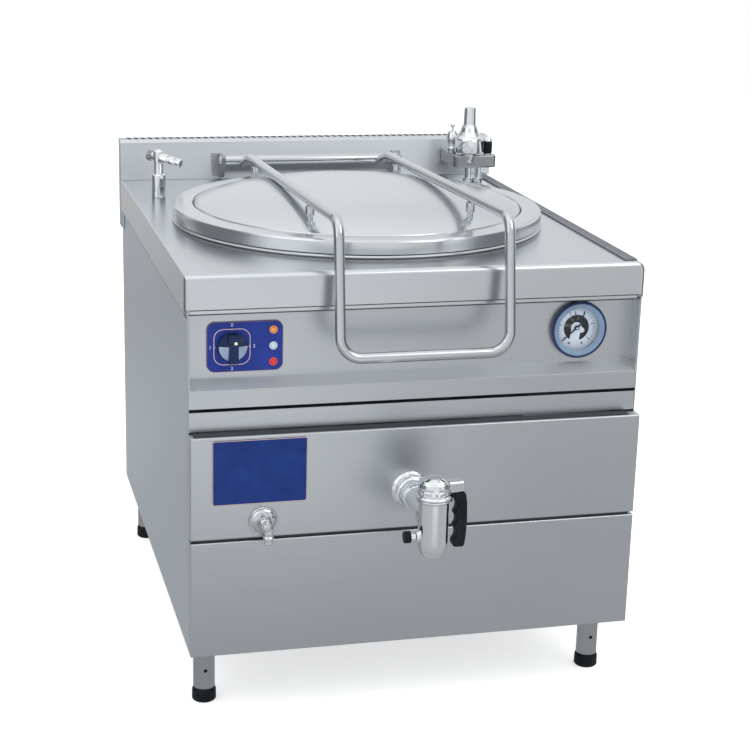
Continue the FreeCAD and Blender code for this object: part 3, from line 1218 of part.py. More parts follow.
def valve_knob():
    """Black hand knob with a chromed cap on the right end of the manifold."""
    z0 = SEAT_Z + GAP
    c = Vector(KNOB_VALVE_X, MAN_Y, 0)
    body = turned([(0, z0), (8.5, z0), (10, z0 + 2), (10, z0 + 27), (9, z0 + 30), (7, z0 + 33),
                   (4, z0 + 35), (0, z0 + 35.5)], c, Z)
    flutes = []
    for i in range(8):
        t = math.radians(45 * i)
        flutes.append(Part.makeCylinder(1.8, 21, Vector(c.x + 11 * math.cos(t),
                                                        c.y + 11 * math.sin(t), z0 + 4)))
    stem = Part.makeCylinder(3.5, 14, Vector(c.x, c.y, z0 - 10))
    return union([body.cut(Part.makeCompound(flutes)), stem])


def relief_valve():
    """Small domed air valve behind the funnel, open at the top for its pin."""
    z0 = SEAT_Z + GAP
    c = Vector(RELIEF_X, RELIEF_Y, 0)
    body = turned([(0, z0), (10, z0), (12, z0 + 2), (12, z0 + 7), (10.5, z0 + 9), (10.5, z0 + 18),
                   (12.5, z0 + 20), (13, z0 + 28), (12, z0 + 36), (9, z0 + 43), (0, z0 + 46)], c, Z)
    return body.cut(Part.makeCylinder(2.5 + RUN, 30, Vector(c.x, c.y, z0 + 22)))


def relief_pin():
    """Lifting pin of the air valve."""
    z0 = SEAT_Z + GAP
    c = Vector(RELIEF_X, RELIEF_Y, 0)
    return union([Part.makeCylinder(2.5, 32, Vector(c.x, c.y, z0 + 23)),
                  turned([(0, z0 + 52), (5, z0 + 53), (5.5, z0 + 56), (4, z0 + 59), (0, z0 + 60)],
                         c, Z)])


def cable_gland():
    """Supply cable gland through the back panel."""
    y1 = BACK_Y - SHEET - GAP
    pts = [(8, -16), (17, -16), (17, -SHEET - GAP - 0.1), (GLAND_R - GAP, -SHEET - GAP - 0.1),
           (GLAND_R - GAP, GAP), (17, GAP), (17, 6), (13, 8), (11, 11.5), (8, 11.5)]
    return turned(pts, Vector(GLAND_X, y1, GLAND_Z), Y)


def build():
    os.makedirs("parts", exist_ok=True)
    save("base_frame", base_frame())
    save("side_panel_left", side_panel(-1))
    save("side_panel_right", side_panel(1))
    save("rear_panel", rear_panel())
    save("worktop", worktop())
    save("joint_strip", joint_strip())
    save("splash_duct", splash_duct())
    save("fascia_panel", fascia_panel())
    save("lower_rail", lower_rail())
    save("upper_front_panel", upper_front_panel())
    save("lower_front_panel", lower_front_panel())
    save("label_plate", label_plate())
    for name, x, y in (("front_left", -LEG_X, LEG_FRONT_Y), ("front_right", LEG_X, LEG_FRONT_Y),
                       ("rear_left", -LEG_X, LEG_REAR_Y), ("rear_right", LEG_X, LEG_REAR_Y)):
        save("leg_" + name, leg(x, y))
        save("foot_" + name, foot(x, y))
    save("cooking_vessel", cooking_vessel())
    save("steam_jacket", steam_jacket())
    save("heater_bank", heater_bank())
    save("outlet_pipe", outlet_pipe())
    save("lid_shell", lid_shell())
    save("lid_liner", lid_liner())
    save("lid_gasket", lid_gasket())
    save("lid_handle", lid_handle())
    for name, sx, y in (("front_left", -1, POST_FRONT_Y), ("front_right", 1, POST_FRONT_Y),
                        ("rear_left", -1, POST_REAR_Y), ("rear_right", 1, POST_REAR_Y)):
        save("post_" + name, handle_post(sx, y))
    save("hinge_bracket", hinge_bracket())
    save("hinge_rod", hinge_rod())
    save("tap_body", tap_body())
    save("tap_plug", tap_plug())
    save("tap_lever", tap_lever())
    save("tap_grip", tap_grip())
    save("tap_side_cap", tap_side_cap())
    save("level_tap", level_tap())
    save("level_tap_key", level_tap_key())
    save("control_plate", control_plate())
    save("rotary_switch", rotary_switch())
    save("switch_knob", switch_knob())
    save("lamp_top", lamp(1))
    save("lamp_middle", lamp(0))
    save("lamp_bottom", lamp(-1))
    save("gauge_case", gauge_case())
    save("gauge_bezel", gauge_bezel())
    save("gauge_dial", gauge_dial())
    save("gauge_needle", gauge_needle())
    save("gauge_glass", gauge_glass())
    save("fill_tap", fill_tap())
    save("fill_tap_knob", fill_tap_knob())
    save("manifold", manifold())
    save("funnel", funnel())
    save("valve_knob", valve_knob())
    save("relief_valve", relief_valve())
    save("relief_pin", relief_pin())
    save("cable_gland", cable_gland())


build()
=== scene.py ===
import math

import bmesh
import bpy
from bpy.props import FloatProperty, FloatVectorProperty, IntProperty, PointerProperty
from mathutils import Matrix, Quaternion, Vector


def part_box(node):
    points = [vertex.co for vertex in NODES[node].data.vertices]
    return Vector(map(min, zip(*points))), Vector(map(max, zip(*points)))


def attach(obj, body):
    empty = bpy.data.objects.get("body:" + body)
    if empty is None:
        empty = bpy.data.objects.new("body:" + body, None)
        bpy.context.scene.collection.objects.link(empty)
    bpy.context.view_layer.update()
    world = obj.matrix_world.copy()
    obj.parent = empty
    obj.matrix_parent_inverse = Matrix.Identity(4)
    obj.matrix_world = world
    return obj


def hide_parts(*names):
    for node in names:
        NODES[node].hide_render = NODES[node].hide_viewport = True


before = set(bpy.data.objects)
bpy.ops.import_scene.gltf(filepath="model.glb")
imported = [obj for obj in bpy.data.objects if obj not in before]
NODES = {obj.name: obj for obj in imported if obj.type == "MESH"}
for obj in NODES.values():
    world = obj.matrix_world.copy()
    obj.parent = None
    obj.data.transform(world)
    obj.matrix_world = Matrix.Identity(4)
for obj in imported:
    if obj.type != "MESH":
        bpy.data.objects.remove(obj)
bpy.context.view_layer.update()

bl_info = {
    "name": "Boiling pan finish",
    "version": (1, 0, 0),
    "blender": (4, 5, 0),
    "location": "3D View > Sidebar > Boiling pan",
    "description": "Dresses the packed boiling pan with finishes, fittings and a studio",
    "category": "Object",
}

APRON_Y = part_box("worktop")[0].y
MM = 0.001
FRONT = Vector((0, -1, 0))
UP = Vector((0, 0, 1))
SIDEWAYS = Vector((1, 0, 0))


def at(x, y, z):
    """Point given in millimetres from the apron's face, in the frame's metres."""
    return Vector((x * MM, APRON_Y + y * MM, z * MM))


def middle(node):
    low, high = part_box(node)
    return (low + high) / 2


# Mesh tools

def new_object(name, mesh, material, body, slot):
    piece = bpy.data.objects.new(name, mesh)
    bpy.context.scene.collection.objects.link(piece)
    if material:
        mesh.materials.append(material)
    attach(piece, body)
    return piece


def smooth_by_angle(mesh, degrees=35.0):
    """Smooth shading with creases kept where faces turn by more than the angle."""
    limit = math.radians(degrees)
    form = bmesh.new()
    form.from_mesh(mesh)
    bmesh.ops.remove_doubles(form, verts=form.verts, dist=1e-7)
    for face in form.faces:
        face.smooth = True
    for edge in form.edges:
        edge.smooth = len(edge.link_faces) == 2 and edge.calc_face_angle(0.0) < limit
    form.to_mesh(mesh)
    form.free()


def from_form(name, form, material, body, slot, degrees=35.0):
    """Closes a bmesh into an object with clean outward normals."""
    bmesh.ops.recalc_face_normals(form, faces=form.faces)
    mesh = bpy.data.meshes.new(name)
    form.to_mesh(mesh)
    form.free()
    smooth_by_angle(mesh, degrees)
    return new_object(name, mesh, material, body, slot)


def soften(points, radius, steps=4, closed=False):
    """Rounds the corners of a flat outline with arcs of up to the given radius."""
    count = len(points)
    out = []
    for i, p in enumerate(points):
        p = Vector(p)
        if not closed and i in (0, count - 1):
            out.append(p)
            continue
        back = Vector(points[i - 1]) - p
        ahead = Vector(points[(i + 1) % count]) - p
        if back.length < 1e-9 or ahead.length < 1e-9:
            out.append(p)
            continue
        turn = back.angle(ahead)
        cut = min(radius / max(math.tan(turn / 2), 1e-6), 0.45 * back.length, 0.45 * ahead.length)
        if turn > math.radians(172) or cut < 1e-7:
            out.append(p)
            continue
        a = p + back.normalized() * cut
        b = p + ahead.normalized() * cut
        for k in range(steps + 1):
            t = k / steps
            out.append((1 - t) ** 2 * a + 2 * t * (1 - t) * p + t * t * b)
    return out


def axis_turn(axis):
    return Vector(axis).to_track_quat("Z", "Y").to_matrix().to_4x4()


def lathe_form(form, outline, centre, axis, segments=96, radius=0.4, steps=3):
    """Adds a turned solid: (radius, height) in millimetres along the axis."""
    place = Matrix.Translation(centre) @ axis_turn(axis)
    rings = []
    for r, h in soften([(r, h) for r, h in outline], radius, steps):
        if r < 1e-4:
            rings.append([form.verts.new(place @ Vector((0, 0, h * MM)))])
            continue
        ring = []
        for k in range(segments):
            a = 2 * math.pi * k / segments
            ring.append(form.verts.new(place @ Vector((r * MM * math.cos(a), r * MM * math.sin(a),
                                                       h * MM))))
        rings.append(ring)
    for low, high in zip(rings, rings[1:]):
        for k in range(segments):
            m = (k + 1) % segments
            if len(low) == 1 and len(high) == 1:
                break
            if len(low) == 1:
                form.faces.new((low[0], high[k], high[m]))
            elif len(high) == 1:
                form.faces.new((low[k], low[m], high[0]))
            else:
                form.faces.new((low[k], low[m], high[m], high[k]))


def lathe(name, outline, centre, axis, material, body, slot, segments=96, radius=0.4, steps=3):
    form = bmesh.new()
    lathe_form(form, outline, centre, axis, segments, radius, steps)
    return from_form(name, form, material, body, slot)


def bent_line(points, bends, steps=12):
    """Straight runs joined by tangent arcs, as a list of points."""
    line = [points[0].copy()]
    for i in range(1, len(points) - 1):
        p = points[i]
        back = (points[i - 1] - p).normalized()
        ahead = (points[i + 1] - p).normalized()
        half = back.angle(ahead) / 2
        cut = bends[i - 1] / math.tan(half)
        centre = p + (back + ahead).normalized() * (bends[i - 1] / math.sin(half))
        a = p + back * cut - centre
        b = p + ahead * cut - centre
        swing = a.rotation_difference(b)
        for k in range(steps + 1):
            line.append(centre + Quaternion().slerp(swing, k / steps) @ a)
    line.append(points[-1].copy())
    return line


def tube_form(form, line, radii, segments=32, caps=True):
    """Adds a round tube along a line; radii is one value or one for each point."""
    if not isinstance(radii, (list, tuple)):
        radii = [radii] * len(line)
    heading = (line[1] - line[0]).normalized()
    side = heading.orthogonal().normalized()
    rings = []
    for i, p in enumerate(line):
        before = (p - line[i - 1]).normalized() if i else heading
        after = (line[i + 1] - p).normalized() if i + 1 < len(line) else before
        tangent = (before + after).normalized()
        side = (heading.rotation_difference(tangent) @ side).normalized()
        heading = tangent
        across = heading.cross(side)
        ring = []
        for k in range(segments):
            a = 2 * math.pi * k / segments
            ring.append(form.verts.new(p + (side * math.cos(a) + across * math.sin(a)) * radii[i]))
        rings.append(ring)
    for low, high in zip(rings, rings[1:]):
        for k in range(segments):
            m = (k + 1) % segments
            form.faces.new((low[k], low[m], high[m], high[k]))
    if caps:
        form.faces.new(rings[0][::-1])
        form.faces.new(rings[-1])


def tube(name, line, radii, material, body, slot, segments=32):
    form = bmesh.new()
    tube_form(form, line, radii, segments)
    return from_form(name, form, material, body, slot)


def prism_form(form, outline, place, depth):
    """Adds a plate: a flat outline in metres in the plane of place, pushed along its Z."""
    low = [form.verts.new(place @ Vector((x, y, 0))) for x, y in outline]
    high = [form.verts.new(place @ Vector((x, y, depth))) for x, y in outline]
    form.faces.new(low[::-1])
    form.faces.new(high)
    count = len(outline)
    for k in range(count):
        m = (k + 1) % count
        form.faces.new((low[k], low[m], high[m], high[k]))


def round_rectangle(w, h, r, steps=8):
    """Outline of a rectangle with rounded corners, centred, counter-clockwise."""
    out = []
    for cx, cy, start in ((1, 1, 0), (-1, 1, 90), (-1, -1, 180), (1, -1, 270)):
        for k in range(steps + 1):
            a = math.radians(start + 90 * k / steps)
            out.append((cx * (w / 2 - r) + r * math.cos(a), cy * (h / 2 - r) + r * math.sin(a)))
    return out


def face_place(point, normal=FRONT):
    """Plane through a point, x to the viewer's right, y up, z along the normal."""
    normal = Vector(normal).normalized()
    right = UP.cross(normal)
    right = right.normalized() if right.length > 1e-6 else SIDEWAYS.copy()
    up = normal.cross(right)
    turn = Matrix((right, up, normal)).transposed().to_4x4()
    return Matrix.Translation(point) @ turn


def band_form(form, outer, inner, place, depth):
    """Adds a flat frame between two outlines of the same length."""
    layers = []
    for z in (0, depth):
        layers.append([[form.verts.new(place @ Vector((x, y, z))) for x, y in ring]
                       for ring in (outer, inner)])
    count = len(outer)
    (a0, b0), (a1, b1) = layers
    for k in range(count):
        m = (k + 1) % count
        form.faces.new((a1[k], a1[m], b1[m], b1[k]))
        form.faces.new((a0[m], a0[k], b0[k], b0[m]))
        form.faces.new((a0[k], a0[m], a1[m], a1[k]))
        form.faces.new((b0[m], b0[k], b1[k], b1[m]))


def add_bevel(piece, width, segments=2, angle=30.0):
    edge = piece.modifiers.new("edge", "BEVEL")
    edge.width = width
    edge.segments = segments
    edge.limit_method = "ANGLE"
    edge.angle_limit = math.radians(angle)
    edge.harden_normals = False
    return edge


def cut_away(piece, form):
    """Cuts a closed form out of a piece and applies the result."""
    tool_mesh = bpy.data.meshes.new("tool")
    bmesh.ops.recalc_face_normals(form, faces=form.faces)
    form.to_mesh(tool_mesh)
    form.free()
    tool = bpy.data.objects.new("tool", tool_mesh)
    bpy.context.scene.collection.objects.link(tool)
    cut = piece.modifiers.new("cut", "BOOLEAN")
    cut.operation = "DIFFERENCE"
    cut.solver = "EXACT"
    cut.object = tool
    bpy.context.view_layer.update()
    graph = bpy.context.evaluated_depsgraph_get()
    result = bpy.data.meshes.new_from_object(piece.evaluated_get(graph))
    piece.modifiers.remove(cut)
    piece.data = result
    bpy.data.objects.remove(tool)
    smooth_by_angle(result)


def printed_text(name, words, height, point, material, body, slot, normal=FRONT, turn=0.0):
    """Thin printed digits lying on a face."""
    curve = bpy.data.curves.new(name, "FONT")
    curve.body = words
    curve.size = height
    curve.extrude = 0.00006
    curve.align_x = "CENTER"
    curve.align_y = "CENTER"
    holder = bpy.data.objects.new(name + "_text", curve)
    bpy.context.scene.collection.objects.link(holder)
    bpy.context.view_layer.update()
    graph = bpy.context.evaluated_depsgraph_get()
    mesh = bpy.data.meshes.new_from_object(holder.evaluated_get(graph))
    bpy.data.objects.remove(holder)
    mesh.transform(face_place(point, normal) @ Matrix.Rotation(turn, 4, "Z"))
    mesh.materials.clear()
    return new_object(name, mesh, material, body, slot)


# Shader tools

class Wire:
    """A shader socket or number that can be used in expressions."""

    def __init__(self, maker, socket):
        self.maker = maker
        self.socket = socket

    def math(self, operation, a, b=0.0):
        return self.maker.node("ShaderNodeMath", {"operation": operation}, {0: a, 1: b})

    def __add__(self, other):
        return self.math("ADD", self, other)

    def __sub__(self, other):
        return self.math("SUBTRACT", self, other)

    def __mul__(self, other):
        return self.math("MULTIPLY", self, other)

    def __truediv__(self, other):
        return self.math("DIVIDE", self, other)

    def __pow__(self, other):
        return self.math("POWER", self, other)

    def __radd__(self, other):
        return self.math("ADD", other, self)

    def __rsub__(self, other):
        return self.math("SUBTRACT", other, self)

    def __rmul__(self, other):
        return self.math("MULTIPLY", other, self)

    def __rtruediv__(self, other):
        return self.math("DIVIDE", other, self)


class Maker:
    """Builds the node tree of one material or world."""

    def __init__(self, owner):
        owner.use_nodes = True
        self.tree = owner.node_tree
        self.tree.nodes.clear()

    def node(self, kind, settings=None, sockets=None, out=0):
        made = self.tree.nodes.new(kind)
        for key, value in (settings or {}).items():
            if key == "stops":
                ramp = made.color_ramp
                while len(ramp.elements) > 1:
                    ramp.elements.remove(ramp.elements[-1])
                for i, (place, colour) in enumerate(value):
                    stop = ramp.elements[0] if i == 0 else ramp.elements.new(place)
                    stop.position = place
                    stop.color = colour
            else:
                setattr(made, key, value)
        for key, value in (sockets or {}).items():
            if isinstance(value, Wire):
                self.tree.links.new(value.socket, made.inputs[key])
            else:
                made.inputs[key].default_value = value
        return Wire(self, made.outputs[out])

    def ramp(self, wire, low, high):
        return self.node("ShaderNodeMapRange", {"clamp": True},
                         {"Value": wire, "From Min": low, "From Max": high})

    def mix(self, factor, a, b):
        return self.node("ShaderNodeMix", {"data_type": "RGBA"}, {0: factor, 6: a, 7: b}, out=2)

    def object_space(self, scale):
        place = self.node("ShaderNodeTexCoord", out=3)
        return self.node("ShaderNodeVectorMath", {"operation": "MULTIPLY"}, {0: place, 1: scale})

    def noise(self, scale, size, detail=2.0, rough=0.5):
        return self.node("ShaderNodeTexNoise", {}, {"Vector": self.object_space(scale),
                                                    "Scale": size, "Detail": detail,
                                                    "Roughness": rough})

    def surface(self, wire):
        self.tree.links.new(wire.socket, self.tree.nodes.new("ShaderNodeOutputMaterial").inputs[0])


MATERIALS = {}


def colour(r, g, b):
    return (r, g, b, 1.0)


def finish(name, build):
    """Returns a material, made once."""
    if name not in MATERIALS:
        material = bpy.data.materials.new(name)
        build(Maker(material))
        MATERIALS[name] = material
    return MATERIALS[name]


def brushed(name, base, rough, grain, edge=0.0007, streak=0.05, cloud=0.05, bump=0.008,
            soft=None):
    """Brushed stainless sheet: fine streaks along one axis, faint clouds, soft edges.

    soft is a range of heights in metres where the sheet is scuffed dull.
    """
    across = {"X": (1.2, 90.0, 90.0), "Y": (90.0, 1.2, 90.0), "Z": (90.0, 90.0, 1.2)}[grain]

    def build(m):
        fine = m.noise(across, 18.0, 3.0, 0.7)
        broad = m.noise(across, 2.6, 2.0, 0.5)
        clouds = m.noise((1, 1, 1), 3.2, 3.0, 0.55)
        tone = 1.0 + (fine - 0.5) * streak + (broad - 0.5) * streak + (clouds - 0.5) * cloud
        shade = m.node("ShaderNodeVectorMath", {"operation": "SCALE"},
                       {0: tuple(base), "Scale": tone})
        roughness = rough + (fine - 0.5) * 0.10 + (clouds - 0.5) * 0.06
        metal = 1.0
        if soft:
            z = m.node("ShaderNodeSeparateXYZ", {}, {0: m.object_space((1, 1, 1))}, out=2)
            dull = m.ramp(z, soft[0] - 0.002, soft[0]) * m.ramp(z, soft[1] + 0.002, soft[1])
            roughness = roughness + dull * 0.2
            metal = 1.0 - dull * 0.6
        rounded = m.node("ShaderNodeBevel", {"samples": 4}, {"Radius": edge})
        normal = m.node("ShaderNodeBump", {}, {"Strength": bump, "Distance": 0.0003,
                                               "Height": fine, "Normal": rounded})
        m.surface(m.node("ShaderNodeBsdfPrincipled", {}, {
            "Base Color": shade, "Metallic": metal, "Roughness": roughness, "Normal": normal}))
    return finish(name, build)


def polished(name, base, rough, haze=0.05):
    """Polished or chromed metal with faint handling haze."""
    def build(m):
        marks = m.noise((1, 1, 1), 60.0, 4.0, 0.6)
        m.surface(m.node("ShaderNodeBsdfPrincipled", {}, {
            "Base Color": colour(*base), "Metallic": 1.0,
            "Roughness": rough + m.ramp(marks, 0.45, 0.8) * haze}))
    return finish(name, build)


def moulded(name, base, rough, grain=0.15, coat=0.0, shine=0.25):
    """Moulded or painted surface with fine texture and slight tone changes."""
    def build(m):
        texture = m.noise((1, 1, 1), 1400.0, 2.0, 0.6)
        clouds = m.noise((1, 1, 1), 25.0, 3.0, 0.6)
        shade = m.mix(m.ramp(clouds, 0.35, 0.75), colour(*base),
                      colour(*[min(1.0, c * 1.25 + 0.004) for c in base]))
        normal = m.node("ShaderNodeBump", {}, {"Strength": grain, "Distance": 0.0001,
                                               "Height": texture})
        m.surface(m.node("ShaderNodeBsdfPrincipled", {}, {
            "Base Color": shade, "Roughness": rough + (clouds - 0.5) * 0.12, "Normal": normal,
            "Coat Weight": coat, "Specular IOR Level": shine}))
    return finish(name, build)


def glowing_lens(name, base, rough, glow):
    """Lamp lens: coloured plastic with a slight inner light at its centre."""
    def build(m):
        ribs = m.noise((1, 1, 1), 500.0, 1.0, 0.4)
        m.surface(m.node("ShaderNodeBsdfPrincipled", {}, {
            "Base Color": m.mix(m.ramp(ribs, 0.3, 0.7), colour(*base),
                                colour(*[min(1.0, c * 1.2 + 0.02) for c in base])),
            "Roughness": rough, "Coat Weight": 0.6,
            "Emission Color": colour(*base), "Emission Strength": glow}))
    return finish(name, build)


def clear_glass(name):
    """Thin flat glass: mostly see-through with a sharp coat of reflection."""
    def build(m):
        gloss = m.node("ShaderNodeLayerWeight", {}, {"Blend": 0.25}, out=0)
        through = m.node("ShaderNodeBsdfTransparent", {}, {"Color": colour(0.97, 0.985, 1.0)})
        shine = m.node("ShaderNodeBsdfPrincipled", {}, {
            "Base Color": colour(0.9, 0.95, 1.0), "Metallic": 1.0, "Roughness": 0.05})
        m.surface(m.node("ShaderNodeMixShader", {}, {0: 0.012 + gloss * 0.12, 1: through,
                                                     2: shine}))
    return finish(name, build)


def dress(nodes, material):
    """Gives CAD nodes a finish through their own material slots."""
    for name in nodes:
        piece = NODES[name]
        if not piece.material_slots:
            raise RuntimeError("%s came without a material slot" % name)
        for place in piece.material_slots:
            place.material = material


# Colours that a user would change

class BoilingPanFinish(bpy.types.PropertyGroup):
    """Finishes of the housing, the fittings and the plates."""
    sheet: FloatVectorProperty(name="Sheet steel", description="Tone of the brushed sheets",
                               subtype="COLOR", size=3, default=(0.56, 0.585, 0.61))
    top: FloatVectorProperty(name="Worktop steel", description="Tone of the worktop",
                             subtype="COLOR", size=3, default=(0.62, 0.645, 0.67))
    lid: FloatVectorProperty(name="Lid steel", description="Tone of the ground lid",
                             subtype="COLOR", size=3, default=(0.66, 0.685, 0.705))
    plate: FloatVectorProperty(name="Plate blue", description="Blue of the printed plates",
                               subtype="COLOR", size=3, default=(0.026, 0.05, 0.29))
    roughness: FloatProperty(name="Sheet roughness", description="Roughness of brushed sheet",
                             default=0.34, min=0.05, max=0.8)


class BoilingPanStage(bpy.types.PropertyGroup):
    """Camera, floor and lights."""
    yaw: FloatProperty(name="Camera yaw", description="Turn of the view to the right",
                       subtype="ANGLE", default=0.257363)
    pitch: FloatProperty(name="Camera pitch", description="Tilt of the view downwards",
                         subtype="ANGLE", default=0.283794)
    roll: FloatProperty(name="Camera roll", description="Roll of the view",
                        subtype="ANGLE", default=0.026501)
    place: FloatVectorProperty(name="Camera place", description="Camera from the apron's face",
                               subtype="TRANSLATION", unit="LENGTH", size=3,
                               default=(-0.838777, -2.874553, 1.497612))
    lens: FloatProperty(name="Lens", description="Focal length on a 36 mm wide sensor, in mm",
                        default=84.2157)
    floor: FloatProperty(name="Floor size", description="Side of the pale floor",
                         unit="LENGTH", default=16.0)


class BoilingPanFittings(bpy.types.PropertyGroup):
    """Sizes of the fittings that are finished here."""
    arm: FloatProperty(name="Handle tube radius", description="Radius of the lid handle's tube",
                       unit="LENGTH", default=0.0095)
    arm_half: FloatProperty(name="Half spacing", description="Half the spacing of the arms",
                            unit="LENGTH", default=0.153)
    print_line: FloatProperty(name="Print line", description="Width of the printed outlines",
                              unit="LENGTH", default=0.0013)
    ticks: IntProperty(name="Gauge ticks", description="Ticks round the gauge scale", default=26)
    fill_aim: FloatProperty(name="Fill spout aim", description="Turn of the fill spout",
                            subtype="ANGLE", default=math.radians(-38))
    fill_dip: FloatProperty(name="Fill spout dip", description="Fall of the spout over its reach",
                            default=0.15)


def settings():
    return bpy.context.scene.boiling_pan_finish


def steel_sheet():
    return brushed("panel_steel", settings().sheet, settings().roughness, "X")


def steel_side():
    # Painted light: the sides and the duct covers get a lighter, bluer copy of the sheet steel for the
    # light that falls on them.
    tone = [level * gain for level, gain in zip(settings().sheet, (1.10, 1.14, 1.19))]
    return brushed("side_steel_lightened", tone, settings().roughness, "Z")


def steel_top():
    return brushed("worktop_steel", settings().top, 0.25, "X", streak=0.03, bump=0.003)


def steel_lid():
    return brushed("lid_steel", settings().lid, 0.22, "X", streak=0.02, bump=0.003)


def steel_tube():
    return brushed("tube_steel", (0.58, 0.60, 0.62), 0.16, "Y", streak=0.03, bump=0.004)


def chrome():
    return polished("tap_chrome", (0.78, 0.80, 0.82), 0.07)


def satin_chrome():
    return polished("satin_fitting", (0.68, 0.69, 0.70), 0.2)


def cast_metal():
    return polished("cast_fitting", (0.36, 0.37, 0.385), 0.27)


def black_grip():
    return moulded("black_plastic", (0.010, 0.012, 0.015), 0.42, shine=0.12)


def printed_white():
    return moulded("pale_print", (0.74, 0.76, 0.95), 0.5, grain=0.0)


def printed_peach():
    return moulded("cream_print", (0.80, 0.58, 0.54), 0.5, grain=0.0)


# Operators

class BOILINGPAN_OT_stage(bpy.types.Operator):
    """Camera, pale floor and soft studio light"""
    bl_idname = "boilingpan.stage"
    bl_label = "Stage"

    def execute(self, context):
        values = context.scene.boiling_pan_stage
        self.camera(context, values)
        self.floor(values)
        self.world(context)
        self.lamps()
        context.scene.view_settings.view_transform = "Standard"
        return {"FINISHED"}

    def camera(self, context, values):
        data = bpy.data.cameras.new("camera")
        data.lens = values.lens
        data.sensor_width = 36.0
        data.clip_end = 60.0
        camera = bpy.data.objects.new("camera", data)
        context.scene.collection.objects.link(camera)
        yaw, pitch, roll = values.yaw, values.pitch, values.roll
        ahead = Vector((math.sin(yaw) * math.cos(pitch), math.cos(yaw) * math.cos(pitch),
                        -math.sin(pitch)))
        right = Vector((math.cos(yaw), -math.sin(yaw), 0))
        up = right.cross(ahead)
        right, up = (right * math.cos(roll) + up * math.sin(roll),
                     up * math.cos(roll) - right * math.sin(roll))
        turn = Matrix((right, up, -ahead)).transposed().to_4x4()
        place = Vector(values.place) + Vector((0, APRON_Y, 0))
        camera.matrix_world = Matrix.Translation(place) @ turn
        context.scene.camera = camera

    def floor(self, values):
        form = bmesh.new()
        bmesh.ops.create_grid(form, x_segments=8, y_segments=8, size=values.floor / 2)
        mesh = bpy.data.meshes.new("floor")
        form.to_mesh(mesh)
        form.free()
        floor = bpy.data.objects.new("floor", mesh)
        bpy.context.scene.collection.objects.link(floor)

        def build(m):
            seen = m.node("ShaderNodeLightPath", out=0)
            mirrored = m.node("ShaderNodeLightPath", out=3)
            through = m.node("ShaderNodeLightPath", out=6)
            shown = m.node("ShaderNodeMath", {"operation": "MAXIMUM"}, {0: seen, 1: through})
            place = m.node("ShaderNodeTexCoord", out=3)
            away = m.node("ShaderNodeVectorMath", {"operation": "LENGTH"}, {0: place}, out=1)
            near = m.mix(m.ramp(away, 0.7, 3.6), colour(0.455, 0.465, 0.475), colour(0.90, 0.905, 0.91))
            dark = self.flags(m, place, self.LOW_FLAGS) * m.ramp(away, 1.0, 1.7)
            dark = dark + self.flags(m, place, self.FAR_FLAG) * m.ramp(away, 1.4, 2.9)
            dimmed = m.mix(dark, near, colour(0.06, 0.065, 0.07))
            card = self.flags(m, place, self.CARD) * m.ramp(away, 1.2, 1.6)
            card = card * m.ramp(away, 3.3, 2.4)
            dimmed = m.mix(card, dimmed, colour(1.25, 1.27, 1.29))
            direct = m.mix(shown, colour(0, 0, 0), colour(0.62, 0.62, 0.62))
            m.surface(m.node("ShaderNodeBsdfPrincipled", {}, {
                "Base Color": m.mix(mirrored, colour(0.86, 0.865, 0.87), colour(0, 0, 0)),
                "Roughness": 0.9,
                "Specular IOR Level": 0.1,
                "Emission Color": m.mix(mirrored, direct, dimmed),
                "Emission Strength": 1.0}))
        mesh.materials.append(finish("studio_floor", build))

    LOW_FLAGS = (((-0.966, 0.259, 0.0), 0.79, 0.93, 0.85), ((0.985, -0.17, 0.0), 0.88, 0.97, 0.85),
                 ((0.55, 0.835, 0.0), 0.93, 0.99, 0.12), ((0.454, -0.891, 0.0), 0.97, 0.995, 0.25))
    HIGH_FLAGS = LOW_FLAGS + (((-0.42, 0.906, 0.0), 0.978, 0.992, 0.7),)
    FAR_FLAG = (((-0.44, 0.898, 0.0), 0.93, 0.985, 0.48),)
    CARD = (((-0.035, -0.999, 0.0), 0.965, 0.995, 0.65),)

    def flags(self, m, towards, aims):
        """How much the studio's dark flags dim a heading: aim, outer and inner cosine, share."""
        level = m.node("ShaderNodeVectorMath", {"operation": "MULTIPLY"}, {0: towards, 1: (1, 1, 0)})
        heading = m.node("ShaderNodeVectorMath", {"operation": "NORMALIZE"}, {0: level})
        dark = 0.0
        for aim, wide, core, strength in aims:
            turn = m.node("ShaderNodeVectorMath", {"operation": "DOT_PRODUCT"},
                          {0: heading, 1: aim}, out=1)
            dark = dark + m.ramp(turn, wide, core) * strength
        return dark

    def world(self, context):
        world = bpy.data.worlds.new("studio")
        context.scene.world = world
        m = Maker(world)
        seen = m.node("ShaderNodeLightPath", out=0)
        towards = m.node("ShaderNodeTexCoord", out=0)
        height = m.node("ShaderNodeSeparateXYZ", {}, {0: towards}, out=2)
        dark = self.flags(m, towards, self.HIGH_FLAGS) * m.ramp(height, 0.8, 0.45)
        studio = m.mix(dark, colour(0.89, 0.905, 0.92), colour(0.08, 0.09, 0.10))
        overhead = m.ramp(height, 0.42, 0.85)
        studio = m.mix(overhead, studio, colour(1.08, 1.085, 1.09))
        light = m.mix(seen, studio, colour(1.0, 1.0, 1.0))
        back = m.node("ShaderNodeBackground", {}, {"Color": light, "Strength": 1.0})
        sky = m.tree.nodes.new("ShaderNodeOutputWorld")
        m.tree.links.new(back.socket, sky.inputs[0])

    def lamps(self):
        self.lamp("key", (1.6, -1.9, 2.9), (0, 0, 0.6), 1.8, 14.0)
        self.lamp("fill", (-2.6, -1.4, 2.2), (0, 0, 0.5), 2.2, 8.0)
        self.lamp("top", (-0.4, -0.6, 3.4), (0, 0, 0.5), 1.6, 3.0)

